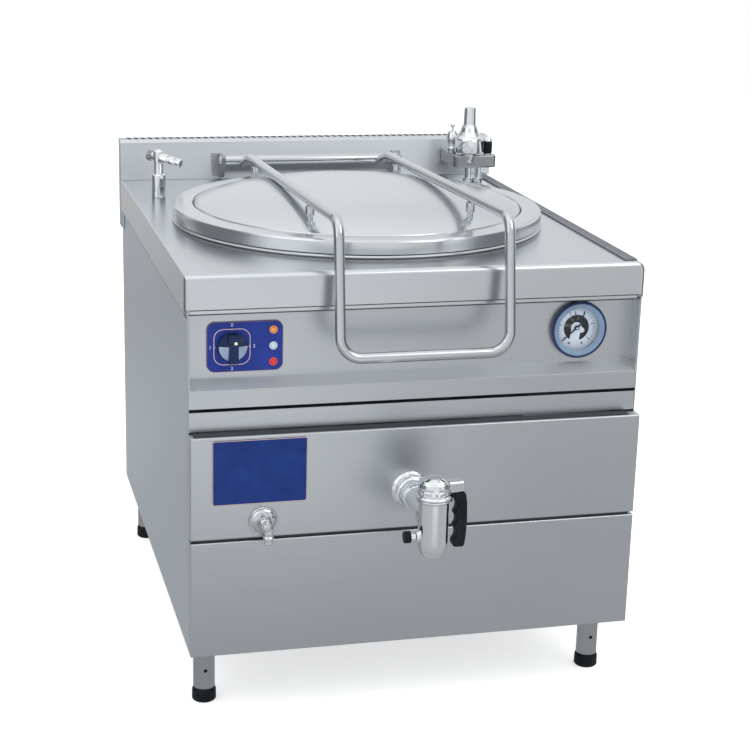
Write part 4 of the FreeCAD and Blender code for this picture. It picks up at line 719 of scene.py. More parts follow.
    def lamp(self, name, place, aim, size, power):
        data = bpy.data.lights.new(name, "AREA")
        data.shape = "SQUARE"
        data.size = size
        data.energy = power
        lamp = bpy.data.objects.new(name, data)
        bpy.context.scene.collection.objects.link(lamp)
        lamp.location = place
        lamp.rotation_euler = (Vector(aim) - Vector(place)).to_track_quat("-Z", "Y").to_euler()


class BOILINGPAN_OT_housing(bpy.types.Operator):
    """Finishes the sheets, the frame and the vessel, and adds screws, duct covers and painted shade
    along the seams, gaps and vent slots
    """
    bl_idname = "boilingpan.housing"
    bl_label = "Housing"

    def execute(self, context):
        dress(["lower_rail", "upper_front_panel", "lower_front_panel", "splash_duct",
               "rear_panel"], steel_sheet())
        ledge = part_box("fascia_panel")[0].z
        dress(["fascia_panel"], brushed("fascia_steel", settings().sheet, settings().roughness,
                                        "X", soft=(ledge + 0.033, ledge + 0.045)))
        dress(["side_panel_left", "side_panel_right"], steel_side())
        dress(["worktop"], steel_top())
        dress(["cooking_vessel", "steam_jacket", "heater_bank", "outlet_pipe"],
              brushed("vessel_steel", (0.58, 0.59, 0.60), 0.3, "X"))
        dress(["base_frame"], brushed("frame_steel", (0.45, 0.46, 0.47), 0.45, "X"))
        dress(["rotary_switch", "cable_gland"], black_grip())
        self.strip()
        self.screws()
        self.seams()
        return {"FINISHED"}

    def strip(self):
        dress(["joint_strip"], moulded("strip_dark", (0.20, 0.21, 0.235), 0.4))

    def screws(self):
        """Small domed screws near the front edges of both side panels."""
        metal = polished("screw_steel", (0.75, 0.76, 0.77), 0.25)
        for i, (side, z) in enumerate(((-1, 576), (-1, 170), (1, 576), (1, 170))):
            form = bmesh.new()
            lathe_form(form, [(0, 0), (3.4, 0), (3.4, 0.6), (2.4, 1.5), (0, 1.7)],
                       at(side * 415.0, 9.0, z), SIDEWAYS * side, 24)
            from_form("panel_screw_%d" % i, form, metal, "housing", "tube_steel")

    def bar(self, name, low, high, material, slot):
        """Plain strip between two corners, with a fine bevel."""
        form = bmesh.new()
        size = high - low
        prism_form(form, [(0, 0), (size.x, 0), (size.x, size.y), (0, size.y)],
                   Matrix.Translation(low), size.z)
        piece = from_form(name, form, material, "housing", slot)
        add_bevel(piece, 0.0003)

    def seams(self):
        """Dark strips of painted shade along the folds and in the gaps between the trays and panels, the
        covers beside the duct, and painted shade under and in the vent's slots.
        """
        # Painted shade: these dark strips stand for the shadow lines under the apron, at the fascia's
        # top, along the side seams and in the gaps between trays and panels.
        painted_line_shade = moulded("seam_shade_line", (0.10, 0.105, 0.11), 0.6, shine=0.1)
        painted_gap_shade = moulded("gap_shade", (0.055, 0.06, 0.065), 0.6, shine=0.1)
        self.bar("apron_shade_line", at(-410, 7.4, 756.3), at(410, 7.9, 757.8), painted_line_shade, "seal_rubber")
        self.bar("fascia_shade_line", at(-411, 34.4, 741.6), at(411, 34.9, 743.4), painted_line_shade, "seal_rubber")
        self.bar("tray_gap_shade", at(-408, -22.0, 539.1), at(396, -0.5, 540.0), painted_gap_shade, "seal_rubber")
        split = (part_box("lower_front_panel")[1].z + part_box("upper_front_panel")[0].z) / 2 / MM
        self.bar("split_gap_shade", at(-406, -23.0, split - 2.2), at(406, -3.0, split + 2.2), painted_gap_shade,
                 "seal_rubber")
        for side, name in ((-1, "left"), (1, "right")):
            xs = sorted((side * 415.1, side * 415.7))
            self.bar("side_shade_line_" + name, at(xs[0], 8.0, 744.2), at(xs[1], 934.0, 747.0), painted_line_shade,
                     "seal_rubber")
            xs = sorted((side * 415.6, side * 418.2))
            self.bar("duct_cover_" + name, at(xs[0], 926.0, 712.0), at(xs[1], 943.5, 760.0),
                     steel_side(), "panel_steel")
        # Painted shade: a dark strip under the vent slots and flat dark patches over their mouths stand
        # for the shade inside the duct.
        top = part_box("splash_duct")[1].z / MM
        self.bar("vent_slot_shade", at(-404, 954.0, top - 5.0), at(404, 976.0, top - 3.6), painted_gap_shade,
                 "seal_rubber")
        form = bmesh.new()
        for i in range(53):
            place = Matrix.Translation(at(-399.0 + i * 798.0 / 52, 967.0, top + 0.05))
            prism_form(form, round_rectangle(0.0056, 0.0150, 0.0012, 2),
                       place @ Matrix.Rotation(math.radians(28), 4, "Z"), 0.0001)
        from_form("vent_mouth_shade", form, moulded("vent_shade", (0.03, 0.035, 0.045), 0.7, shine=0.05),
                  "housing", "seal_rubber")


class BOILINGPAN_OT_legs(bpy.types.Operator):
    """Finishes the tube legs and the black feet"""
    bl_idname = "boilingpan.legs"
    bl_label = "Legs and feet"

    def execute(self, context):
        corners = ("front_left", "front_right", "rear_left", "rear_right")
        dress(["leg_" + c for c in corners],
              brushed("leg_steel", (0.46, 0.47, 0.48), 0.3, "Z", streak=0.1))
        for corner in corners:
            self.foot(corner)
        return {"FINISHED"}

    def foot(self, corner):
        low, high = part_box("foot_" + corner)
        r = (high.x - low.x) / 2 / MM
        centre = Vector(((low.x + high.x) / 2, (low.y + high.y) / 2, 0))
        outline = [(0, 0), (r - 3, 0), (r, 3), (r - 0.4, 21), (r - 1.6, 24), (r - 2.4, 27),
                   (8, 27), (8, 87), (0, 87)]
        piece = lathe("foot_%s_moulding" % corner, outline, centre, UP, black_grip(),
                      "foot_" + corner, "black_plastic", radius=1.0)
        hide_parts("foot_" + corner)


class BOILINGPAN_OT_lid(bpy.types.Operator):
    """Turns the lid skin with its groove and dome, and finishes liner, seal and posts"""
    bl_idname = "boilingpan.lid"
    bl_label = "Lid"

    def execute(self, context):
        low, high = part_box("lid_shell")
        centre = Vector(((low.x + high.x) / 2, (low.y + high.y) / 2, 0))
        r = (high.x - low.x) / 2 / MM
        skirt = low.z / MM
        top = skirt + 26.0
        dome = high.z / MM - top
        groove = r - 41.5
        crown = []
        for k in range(25):
            d = (groove - 7.5) * math.sin(math.radians(90 * k / 24))
            crown.append((d, top + dome * (1 - (d / groove) ** 4)))
        points = crown + [
            (groove - 1.0, top + 0.3), (groove + 0.4, top - 3.4), (groove + 2.2, top - 3.4),
            (groove + 4.0, top), (r - 5.0, top - 0.6), (r - 1.3, top - 2.0), (r, top - 5.0),
            (r, skirt), (r - 1.5, skirt), (r - 1.5, top - 5.0), (r - 5.0, top - 2.1),
            (groove + 5.0, top - 1.6), (groove + 3.2, top - 4.8), (groove - 0.6, top - 4.8),
            (groove - 2.6, top - 1.0)]
        points += [(d, h - 1.5) for d, h in crown[::-1]]
        skin = lathe("lid_skin", points, centre, UP, steel_lid(), "lid", "lid_steel",
                     segments=256, radius=1.0, steps=3)
        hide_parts("lid_shell")
        # Painted shade: a dark ring in the bottom of the groove stands for the shade in that crease.
        lathe("lid_groove_shade", [(groove + 0.5, top - 3.3), (groove + 2.1, top - 3.3),
                                  (groove + 2.1, top - 2.6), (groove + 0.5, top - 2.6),
                                  (groove + 0.5, top - 3.3)], centre, UP,
              moulded("groove_shade", (0.10, 0.105, 0.11), 0.6, shine=0.1), "lid", "seal_rubber",
              segments=256, radius=0.1, steps=1)
        dress(["lid_liner"], steel_lid())
        dress(["lid_gasket"], moulded("seal_rubber", (0.05, 0.05, 0.05), 0.6))
        corners = ("front_left", "front_right", "rear_left", "rear_right")
        for corner in corners:
            self.post(corner)
        return {"FINISHED"}

    def post(self, corner):
        """Stepped post: stout upper part, waist and narrow foot on the dome."""
        low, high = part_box("post_" + corner)
        r = (high.x - low.x) / 2 / MM
        z0 = low.z / MM
        z1 = high.z / MM
        waist = z0 + (z1 - z0) * 0.38
        outline = [(0, z0), (r * 0.68, z0), (r * 0.68, waist - 1.5), (r * 0.8, waist),
                   (r, waist + 1.0), (r, z1 - 1.2), (r - 1, z1), (0, z1)]
        piece = lathe("post_%s_turned" % corner, outline,
                      Vector(((low.x + high.x) / 2, (low.y + high.y) / 2, 0)), UP, steel_tube(),
                      "lid", "tube_steel", segments=40, radius=0.5)
        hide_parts("post_" + corner)


class BOILINGPAN_OT_handle(bpy.types.Operator):
    """Bends the lid handle from smooth tube and finishes the hinge"""
    bl_idname = "boilingpan.handle"
    bl_label = "Lid handle and hinge"

    def execute(self, context):
        sizes = context.scene.boiling_pan_fittings
        low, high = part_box("lid_handle")
        rod_low, rod_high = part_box("hinge_rod")
        x = (low.x + high.x) / 2
        hinge = Vector((x, (rod_low.y + rod_high.y) / 2, (rod_low.z + rod_high.z) / 2))
        side = [(890, 861), (801.5, 886), (-24, 914), (-58, 679)]
        left = [at(x / MM - sizes.arm_half / MM, y, z) for y, z in side]
        right = [at(x / MM + sizes.arm_half / MM, y, z) for y, z in side]
        line = bent_line(left + right[::-1], [0.024, 0.034, 0.038, 0.038, 0.034, 0.024])
        form = bmesh.new()
        tube_form(form, line, sizes.arm, 40)
        piece = from_form("handle_tube", form, steel_tube(), "lid", "tube_steel")
        half = (high.x - low.x) / 2 / MM
        sleeve = lathe("hinge_sleeve", [(6.1, -half), (11, -half), (11, half), (6.1, half),
                                        (6.1, -half)], hinge, SIDEWAYS, steel_tube(), "lid",
                       "tube_steel", segments=48)
        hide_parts("lid_handle")
        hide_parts("lid_handle")
        dress(["hinge_bracket"], brushed("bracket_steel", (0.34, 0.35, 0.37), 0.36, "Z"))
        dress(["hinge_rod"], steel_tube())
        return {"FINISHED"}


class BOILINGPAN_OT_controls(bpy.types.Operator):
    """Prints the control plate and makes the switch knob and the lamps"""
    bl_idname = "boilingpan.controls"
    bl_label = "Control plate"

    def execute(self, context):
        sizes = context.scene.boiling_pan_fittings
        dress(["control_plate"], moulded("plate_blue", settings().plate, 0.4, shine=0.1))
        low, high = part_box("control_plate")
        self.face = low.y
        knob_low, knob_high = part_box("switch_knob")
        centre = Vector(((knob_low.x + knob_high.x) / 2, self.face, (knob_low.z + knob_high.z) / 2))
        place = face_place(centre)
        form = bmesh.new()
        w = sizes.print_line
        outer = round_rectangle(0.065, 0.065, 0.017)
        inner = round_rectangle(0.065 - 2 * w, 0.065 - 2 * w, 0.017 - w)
        band_form(form, outer, inner, place, 0.00008)
        for k in range(4):
            mark = Matrix.Rotation(math.radians(90 * k), 4, "Z") @ Matrix.Translation((0, 0.0312, 0))
            prism_form(form, [(-0.0008, -0.0016), (0.0008, -0.0016), (0.0008, 0.0016),
                              (-0.0008, 0.0016)], place @ mark, 0.00012)
        from_form("plate_outline", form, printed_peach(), "housing", "plate_blue")
        spots = (("0", 0, 0.0392), ("1", -0.0385, 0), ("2", 0, -0.0392), ("3", 0.0390, 0))
        for digit, dx, dz in spots:
            printed_text("plate_digit_" + digit, digit, 0.0088,
                         centre + Vector((dx, -0.00005, dz)), printed_white(), "housing",
                         "plate_blue")
        plate_w = high.x - low.x
        plate_h = high.z - low.z
        middle_place = face_place(Vector(((low.x + high.x) / 2, self.face, (low.z + high.z) / 2)))
        form = bmesh.new()
        band_form(form, round_rectangle(plate_w - 0.0004, plate_h - 0.0004, 0.0138),
                  round_rectangle(plate_w - 0.0022, plate_h - 0.0022, 0.0129), middle_place, 0.00006)
        from_form("plate_border", form, moulded("border_brown", (0.24, 0.12, 0.13), 0.5, grain=0.0),
                  "housing", "plate_blue")
        self.knob(centre, knob_low, knob_high)
        for name, base, glow in (("top", (0.85, 0.30, 0.05), 0.12),
                                 ("middle", (0.62, 0.70, 0.78), 0.05),
                                 ("bottom", (0.70, 0.02, 0.02), 0.10)):
            self.lamp(name, base, glow)
        return {"FINISHED"}

    def wing(self, form, place, side, upper, bar, r, crest, rim):
        """One quarter of the knob's top: a fan that falls from the crease to the rim."""
        steps = 20
        rise = 0.0045
        edge = []
        for k in range(steps + 1):
            a = math.radians(90) * k / steps
            edge.append((side * max(r * math.cos(a), bar),
                         max(upper * r * math.sin(a) + rise * (1 - k / steps), -r),
                         0.0052 + (rim - 0.0052) * (1 - k / steps)))
        top = [form.verts.new(place @ Vector(p)) for p in edge]
        low = [form.verts.new(place @ Vector((p[0], p[1], 0.003))) for p in edge]
        ridge = form.verts.new(place @ Vector((side * bar * 0.9, rise, crest)))
        root = form.verts.new(place @ Vector((side * bar * 0.9, rise, 0.003)))
        for k in range(steps):
            form.faces.new((ridge, top[k], top[k + 1]))
            form.faces.new((root, low[k + 1], low[k]))
            form.faces.new((top[k], low[k], low[k + 1], top[k + 1]))
        form.faces.new((ridge, root, low[0], top[0]))
        form.faces.new((ridge, top[-1], low[-1], root))

    def knob(self, centre, low, high):
        """Knob with a raised bar and wings creased along its middle; the lower wings carry a painted
        light-blue reflection.
        """
        r = (high.x - low.x) / 2
        h = self.face - low.y - 0.0003
        bar = 0.0085
        base = centre + Vector((0, -0.0003, 0))
        place = face_place(base)
        form = bmesh.new()
        lathe_form(form, [(0, 0), (r / MM, 0), (r / MM, 3.0), (r / MM - 1.5, 5.0), (0, 5.0)],
                   base, FRONT, 72, radius=0.8)
        prism_form(form, [(-bar, -r), (bar, -r), (bar, r * 0.95), (-bar, r * 0.95)],
                   place @ Matrix.Translation((0, 0, 0.004)), h - 0.004)
        for side in (-1, 1):
            self.wing(form, place, side, 1, bar, r * 0.985, h - 0.001, h * 0.62)
        knob = from_form("knob_moulding", form, moulded("knob_dark", (0.008, 0.022, 0.075), 0.2,
                                                        grain=0.03, shine=0.2),
                         "switch", "knob_dark", degrees=20)
        # Painted reflection: the lower wings get a light-blue glossy copy of the dark moulding for the
        # bright floor they reflect.
        form = bmesh.new()
        for side in (-1, 1):
            self.wing(form, place, side, -1, bar, r * 0.97, h - 0.001, h * 0.62)
        wings = from_form("knob_wings_painted_sheen", form, polished("knob_painted_sheen", (0.60, 0.72, 0.98), 0.24),
                          "switch", "knob_dark", degrees=20)
        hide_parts("switch_knob")
        spindle = bmesh.new()
        lathe_form(spindle, [(0, 0), (3, 0), (3, 24), (0, 24)], centre, Vector((0, 1, 0)), 24)
        stem = from_form("knob_spindle", spindle, steel_tube(), "switch", "tube_steel")
        dot = bmesh.new()
        lathe_form(dot, [(0, 0), (3.0, 0), (3.0, 0.5), (2.2, 0.9), (0, 1.0)],
                   base + Vector((0.0035, -h + 0.0002, 0.0110)), FRONT, 32)
        from_form("knob_dot", dot, moulded("dot_cream", (0.85, 0.83, 0.55), 0.4, grain=0.0),
                  "switch", "knob_dark")
        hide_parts("switch_knob")
        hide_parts("switch_knob")

    def lamp(self, name, base, glow):
        low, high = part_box("lamp_" + name)
        r = (high.x - low.x) / 2 / MM
        centre = Vector(((low.x + high.x) / 2, self.face - 0.0003, (low.z + high.z) / 2))
        ring = lathe("lamp_%s_ring" % name, [(r - 2.0, 0), (r, 0), (r, 1.6), (r - 0.8, 2.6),
                                             (r - 1.8, 2.6), (r - 2.0, 1.5), (r - 2.0, 0)],
                     centre, FRONT, moulded("lamp_ring_" + name, [c * 0.85 + 0.1 for c in base],
                                            0.25, grain=0.0, coat=0.5),
                     "housing", "lens_clear", segments=48)
        dome = lathe("lamp_%s_lens" % name, [(0, -24), (5.2, -24), (5.2, 0), (r - 2.1, 0.1),
                                             (r - 2.1, 1.6), (4.2, 3.6), (2.4, 4.7), (0, 5.1)],
                     centre, FRONT, glowing_lens("lens_" + name, base, 0.15, glow),
                     "housing", {"top": "lens_orange", "middle": "lens_clear",
                                 "bottom": "lens_red"}[name], segments=48)
        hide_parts("lamp_" + name)
        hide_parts("lamp_" + name)


class BOILINGPAN_OT_label_plate(bpy.types.Operator):
    """Finishes the bare plate on the upper panel with its thin printed border"""
    bl_idname = "boilingpan.label_plate"
    bl_label = "Bare plate"

    def execute(self, context):
        dress(["label_plate"], moulded("label_blue", (0.013, 0.038, 0.185), 0.45, shine=0.1))
        low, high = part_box("label_plate")
        centre = Vector(((low.x + high.x) / 2, low.y, (low.z + high.z) / 2))
        w = high.x - low.x
        h = high.z - low.z
        form = bmesh.new()
        line = 0.0012
        inset = 0.0006
        band_form(form, round_rectangle(w - inset, h - inset, 0.004),
                  round_rectangle(w - inset - 2 * line, h - inset - 2 * line, 0.004 - line),
                  face_place(centre), 0.00006)
        from_form("label_border", form, moulded("peach_print", (0.62, 0.44, 0.36), 0.5, grain=0.0),
                  "housing", "plate_blue")
        return {"FINISHED"}


class BOILINGPAN_OT_gauge(bpy.types.Operator):
    """Pressure gauge: dark rim, steel-blue ring, glass, printed dial, works and pointers"""
    bl_idname = "boilingpan.gauge"
    bl_label = "Pressure gauge"

    def execute(self, context):
        low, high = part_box("gauge_bezel")
        self.centre = Vector(((low.x + high.x) / 2, high.y, (low.z + high.z) / 2))
        self.r = (high.x - low.x) / 2 / MM
        dress(["gauge_case"], moulded("gauge_blue", (0.012, 0.022, 0.065), 0.3, coat=0.5))
        dress(["gauge_glass"], clear_glass("gauge_glass"))
        self.rim()
        self.dial(context)
        self.needle()
        return {"FINISHED"}

    def rim(self):
        r = self.r
        navy = moulded("rim_navy", (0.018, 0.034, 0.11), 0.3, grain=0.02, coat=0.2)
        rim = lathe("gauge_rim", [(r - 6, 0), (r, 0), (r, 5.2), (r - 1.2, 7.4), (r - 3.6, 8.0),
                                  (r - 4.2, 6.8), (r - 6, 4.5), (r - 6, 0)],
                    self.centre, FRONT, navy, "housing", "gauge_blue", segments=128, radius=1.0)
        blue = moulded("ring_blue_grey", (0.21, 0.31, 0.44), 0.35, grain=0.02, coat=0.15)
        ring = lathe("gauge_ring", [(r - 6, 4.6), (r - 4.2, 6.7), (r - 6.5, 6.2), (40.0, 3.0),
                                    (39.2, 2.4), (39.2, 0.9), (r - 6, 0.9), (r - 6, 4.6)],
                     self.centre, FRONT, blue, "housing", "tap_chrome", segments=128, radius=0.5)
        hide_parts("gauge_bezel")
        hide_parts("gauge_bezel")

    def polar(self, angle, radius):
        """Offset on the dial: angle clockwise from the top in degrees, radius in mm."""
        a = math.radians(angle)
        return Vector((math.sin(a) * radius * MM, 0, math.cos(a) * radius * MM))

    def dial(self, context):
        low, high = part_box("gauge_dial")
        face = low.y
        centre = Vector((self.centre.x, face, self.centre.z))
        dress(["gauge_dial"], moulded("dial_white", (0.80, 0.85, 0.95), 0.45, grain=0.02))
        black = moulded("dial_black", (0.012, 0.013, 0.015), 0.5, grain=0.0)
        form = bmesh.new()
        count = context.scene.boiling_pan_fittings.ticks
        for k in range(count):
            angle = -131 + 262 * k / (count - 1)
            major = k % 5 == 0
            length = 0.0042 if major else 0.0024
            width = 0.0008 if major else 0.00045
            turn = Matrix.Rotation(-math.radians(angle), 4, "Z")
            place = face_place(centre) @ turn @ Matrix.Translation((0, 0.0352 - length / 2, 0))
            prism_form(form, [(-width, -length / 2), (width, -length / 2), (width, length / 2),
                              (-width, length / 2)], place, 0.00008)
        from_form("dial_ticks", form, black, "housing", "needle_black")
        for i in range(6):
            angle = -131 + 262 * i / 5
            printed_text("dial_number_%d" % i, str(i), 0.0055,
                         centre + self.polar(angle, 28.3) + Vector((0, -0.00008, 0)), black,
                         "housing", "needle_black")
        self.works(centre)
        screw = polished("dial_screw", (0.3, 0.33, 0.36), 0.3)
        for i, angle in enumerate((-155, 158)):
            lathe("dial_screw_%d" % i, [(0, 0), (2.4, 0), (2.4, 0.5), (1.6, 0.9), (0, 0.9)],
                  centre + self.polar(angle, 31.0), FRONT, screw, "housing", "tube_steel",
                  segments=24)

    def works(self, centre):
        """What shows in the arched window: a dark plate, brass links and a pale lug."""
        back = centre + Vector((0, 0.0035, 0))
        olive = brushed("works_brass", (0.16, 0.15, 0.10), 0.45, "Z", edge=0.0002)
        dark = moulded("works_dark", (0.02, 0.022, 0.025), 0.4)
        lathe("works_plate", [(9, 0), (26, 0), (26, 0.8), (9, 0.8), (9, 0)], back, FRONT, dark,
              "housing", "needle_black", segments=64)
        for i, (angle, reach, length, width) in enumerate((
                (-75, 17.5, 0.016, 0.006), (-30, 18.5, 0.011, 0.0045), (10, 18.0, 0.008, 0.004))):
            form = bmesh.new()
            turn = Matrix.Rotation(-math.radians(angle + 80), 4, "Z")
            place = face_place(back + self.polar(angle, reach) + Vector((0, -0.0008, 0))) @ turn
            prism_form(form, round_rectangle(length, width, width / 3, 3), place, 0.0009)
            from_form("works_link_%d" % i, form, olive, "housing", "brass_plug")
        form = bmesh.new()
        lathe_form(form, [(0, 0), (5.2, 0), (5.2, 1.0), (4.4, 1.4), (0, 1.4)],
                   back + self.polar(115, 11.5) + Vector((0, -0.003, 0)), FRONT, 32)
        from_form("works_lug", form, moulded("lug_white", (0.8, 0.82, 0.85), 0.4, grain=0.0),
                  "housing", "dial_white")

    def needle(self):
        low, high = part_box("gauge_needle")
        dress(["gauge_needle"], moulded("needle_black", (0.012, 0.012, 0.014), 0.4, grain=0.0))
        pale = moulded("hub_pale", (0.72, 0.75, 0.80), 0.35, grain=0.0)
        centre = Vector((self.centre.x, low.y, self.centre.z))
        lathe("needle_cap", [(0, 0), (2.0, 0), (2.0, 0.4), (0, 0.6)], centre, FRONT, pale, "needle",
              "needle_black", segments=32)
        form = bmesh.new()
        blue = moulded("pointer_blue", (0.03, 0.07, 0.20), 0.35, grain=0.0)
        dial = Vector((self.centre.x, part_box("gauge_dial")[0].y - 0.0012, self.centre.z))
        for angle, start, end, width in ((-7, 24.5, 31.5, 0.0009), (28, 24.5, 32.5, 0.0016)):
            turn = Matrix.Rotation(-math.radians(angle), 4, "Z")
            place = face_place(dial) @ turn @ Matrix.Translation((0, (start + end) / 2 * MM, 0))
            half = (end - start) / 2 * MM
            prism_form(form, [(-width, -half), (width, -half), (width * 0.5, half),
                              (-width * 0.5, half)], place, 0.0004)
        from_form("set_pointers", form, blue, "housing", "needle_black")


class BOILINGPAN_OT_draw_off(bpy.types.Operator):
    """Draw-off tap: flange, nut, barrel, collar, hub, lever, grip and side cap"""
    bl_idname = "boilingpan.draw_off"
    bl_label = "Draw-off tap"

    def execute(self, context):
        plug_low, plug_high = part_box("tap_plug")
        self.axis = Vector(((plug_low.x + plug_high.x) / 2, (plug_low.y + plug_high.y) / 2, 0))
        self.barrel()
        self.lever()
        self.grip()
        dress(["tap_plug"], brushed("brass_plug", (0.50, 0.38, 0.18), 0.3, "Z"))
        dress(["outlet_pipe"], chrome())
        dress(["tap_side_cap"], black_grip())
        return {"FINISHED"}

    def barrel(self):
        low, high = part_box("tap_body")
        z = low.z / MM
        top = high.z / MM
        form = bmesh.new()
        lathe_form(form, [(16, z + 30), (16, z + 0.4), (17.5, z), (21, z + 5), (25, z + 15),
                          (26.4, z + 26), (26.5, top - 6), (29.5, top - 4), (31.8, top - 2.5),
                          (31.8, top), (7.05, top), (7.05, top - 5.5),
                          (19.1, top - 5.5), (19.1, z + 30), (16, z + 30)],
                   self.axis, UP, 96, radius=1.0)
        body = from_form("tap_barrel", form, chrome(), "housing", "tap_chrome")
        spigot_y = self.axis.y - high.y
        reach = -spigot_y / MM
        form = bmesh.new()
        centre = self.axis + Vector((0, 0, 0.4235))
        lathe_form(form, [(25.0, 22), (20.2, 26), (20, reach - 10), (24, reach - 9),
                          (24.2, reach - 1.0), (23, reach), (16, reach), (16, 24), (25.0, 22)],
                   centre, Vector((0, 1, 0)), 72, radius=1.0)
        spigot = from_form("tap_spigot", form, chrome(), "housing", "tap_chrome")
        form = bmesh.new()
        centre = self.axis + Vector((0, 0, 0.393))
        lathe_form(form, [(0, 22), (11, 22), (11, 30.5), (9.5, 31.5), (8.5, 32), (8.5, 45.5),
                          (7.5, 46.5), (4, 46.5), (4, 26), (0, 26)], centre, Vector((-1, 0, 0)), 48)
        nipple = from_form("tap_nipple", form, chrome(), "housing", "tap_chrome")
        for piece in (body, spigot, nipple):
            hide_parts("tap_body")

    def lever(self):
        low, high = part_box("tap_lever")
        z0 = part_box("tap_body")[1].z / MM + 0.3
        top = high.z / MM
        form = bmesh.new()
        lathe_form(form, [(7, z0), (31.8, z0), (32.4, z0 + 4), (30, z0 + 6), (28.0, z0 + 7.2),
                          (28.0, z0 + 8.6), (29.6, z0 + 9.6), (29.6, z0 + 16), (28.2, z0 + 17.4),
                          (28.6, z0 + 22), (27.0, z0 + 28), (23, top - 4.6), (14, top - 1.2),
                          (0, top)],
                   self.axis, UP, 96, radius=1.6, steps=4)
        for vert in form.verts:
            out = vert.co.xy - self.axis.xy
            height = vert.co.z / MM - z0
            if 9 < height < 17 and out.length > 0.029:
                turn = math.atan2(out.y, out.x)
                vert.co.xy = self.axis.xy + out * (1.0 - 0.022 * (math.cos(24 * turn) > 0))
        hub = from_form("lever_hub", form, chrome(), "draw_off_lever", "tap_chrome")
        form = bmesh.new()
        reach = (high.x - self.axis.x)
        outline = soften([(0.008, -0.015), (reach * 0.75, -0.0115), (reach, -0.009),
                          (reach, 0.009), (reach * 0.75, 0.0115), (0.008, 0.015)], 0.006, 5, True)
        place = Matrix.Translation(self.axis + Vector((0, 0, (z0 + 9) * MM)))
        prism_form(form, [(p.x, p.y) for p in outline], place, 0.0205)
        arm = from_form("lever_arm", form, chrome(), "draw_off_lever", "tap_chrome", degrees=50)
        add_bevel(arm, 0.0045, 5)
        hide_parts("tap_lever")
        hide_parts("tap_lever")

    def grip(self):
        """Hand grip with a bowed back and three finger hollows."""
        low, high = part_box("tap_grip")
        z0, z1 = low.z, high.z
        x0 = low.x - self.axis.x
        x1 = high.x - self.axis.x
        outer = [(x1 - 0.0042, z1), (x1 - 0.001, z1 - 0.018), (x1, z0 + 0.048),
                 (x1 - 0.0015, z0 + 0.018), (x1 - 0.004, z0), (x0 + 0.002, z0), (x0, z0 + 0.008)]
        inner = []
        pitch = (z1 - z0 - 0.024) / 3
        for k in range(3):
            base = z0 + 0.012 + k * pitch
            inner += [(x0 + 0.0008, base), (x0 + 0.0048, base + pitch * 0.25),
                      (x0 + 0.0058, base + pitch * 0.5), (x0 + 0.0048, base + pitch * 0.75)]
        inner += [(x0 + 0.0008, z1 - 0.011), (x0 + 0.001, z1)]
        outline = soften(outer + inner, 0.005, 4, True)
        form = bmesh.new()
        half = (high.y - low.y) / 2
        turn = Matrix(((1, 0, 0, 0), (0, 0, -1, 0), (0, 1, 0, 0), (0, 0, 0, 1)))
        place = Matrix.Translation((self.axis.x, self.axis.y + half, 0)) @ turn
        prism_form(form, [(p.x, p.y) for p in outline], place, 2 * half)
        grip = from_form("lever_grip", form, black_grip(), "draw_off_lever", "black_plastic",
                         degrees=60)
        add_bevel(grip, 0.0035, 4, 50)
        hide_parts("tap_grip")


class BOILINGPAN_OT_level_tap(bpy.types.Operator):
    """Level tap: domed rose, barrel, spout with hose rings and flat key"""
    bl_idname = "boilingpan.level_tap"
    bl_label = "Level tap"

    def execute(self, context):
        low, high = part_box("level_tap")
        key_low, key_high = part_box("level_tap_key")
        x = key_low.x + 0.007
        z = key_low.z + 0.007
        axis = Vector((x, low.y, z))
        depth = (high.y - low.y) / MM
        rose = lathe("level_rose", [(0, -depth + 1), (5, -depth + 1), (5, -54), (9, -52), (9, -32.8),
                                    (26.4, -32.7), (26.5, -30.4), (25.2, -28.6), (23.6, -28.8),
                                    (22.6, -29.6), (20, -27.0), (15.5, -24.6), (13.2, -24.4),
                                    (12, -21), (12, -9.5), (10.5, -7.5), (9, -6),
                                    (9, 0), (3.05, 0), (3.05, -10), (0, -10)],
                     axis, FRONT, polished("rose_chrome", (0.60, 0.61, 0.63), 0.09), "housing",
                     "tap_chrome", radius=0.8)
        bottom = low.z / MM
        spout = lathe("level_spout", [(0, bottom + 36), (3.2, bottom + 36), (3.2, bottom), (6.6, bottom),
                                      (8.2, bottom + 1.5), (8.0, bottom + 8.5), (9.4, bottom + 10),
                                      (9.4, bottom + 14), (7.4, bottom + 16), (8.8, bottom + 21),
                                      (8.8, bottom + 31), (7, bottom + 37), (0, bottom + 38)],
                      Vector((x + 0.006, low.y + 0.014, 0)), UP, chrome(), "housing",
                      "tap_chrome", segments=64, radius=0.9)
        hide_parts("level_tap")
        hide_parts("level_tap")
        self.key(Vector((x, key_low.y, z)))
        return {"FINISHED"}

    def key(self, tip):
        form = bmesh.new()
        lathe_form(form, [(0, -16.8), (3, -16.8), (3, -7.8), (7, -7.7), (7, -2.5), (5.6, -1.0),
                          (3, 0), (1.9, 0), (1.9, -2), (0, -2)], tip, FRONT, 48, radius=0.6)
        hub = from_form("key_hub", form, satin_chrome(), "level_key", "tap_chrome")
        form = bmesh.new()
        place = face_place(tip + Vector((0, 0.0055, 0.0085)))
        prism_form(form, round_rectangle(0.0062, 0.0172, 0.0028, 6), place, 0.005)
        wing = from_form("key_wing", form, satin_chrome(), "level_key", "tap_chrome")
        add_bevel(wing, 0.0006, 3)
        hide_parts("level_tap_key")
        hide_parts("level_tap_key")


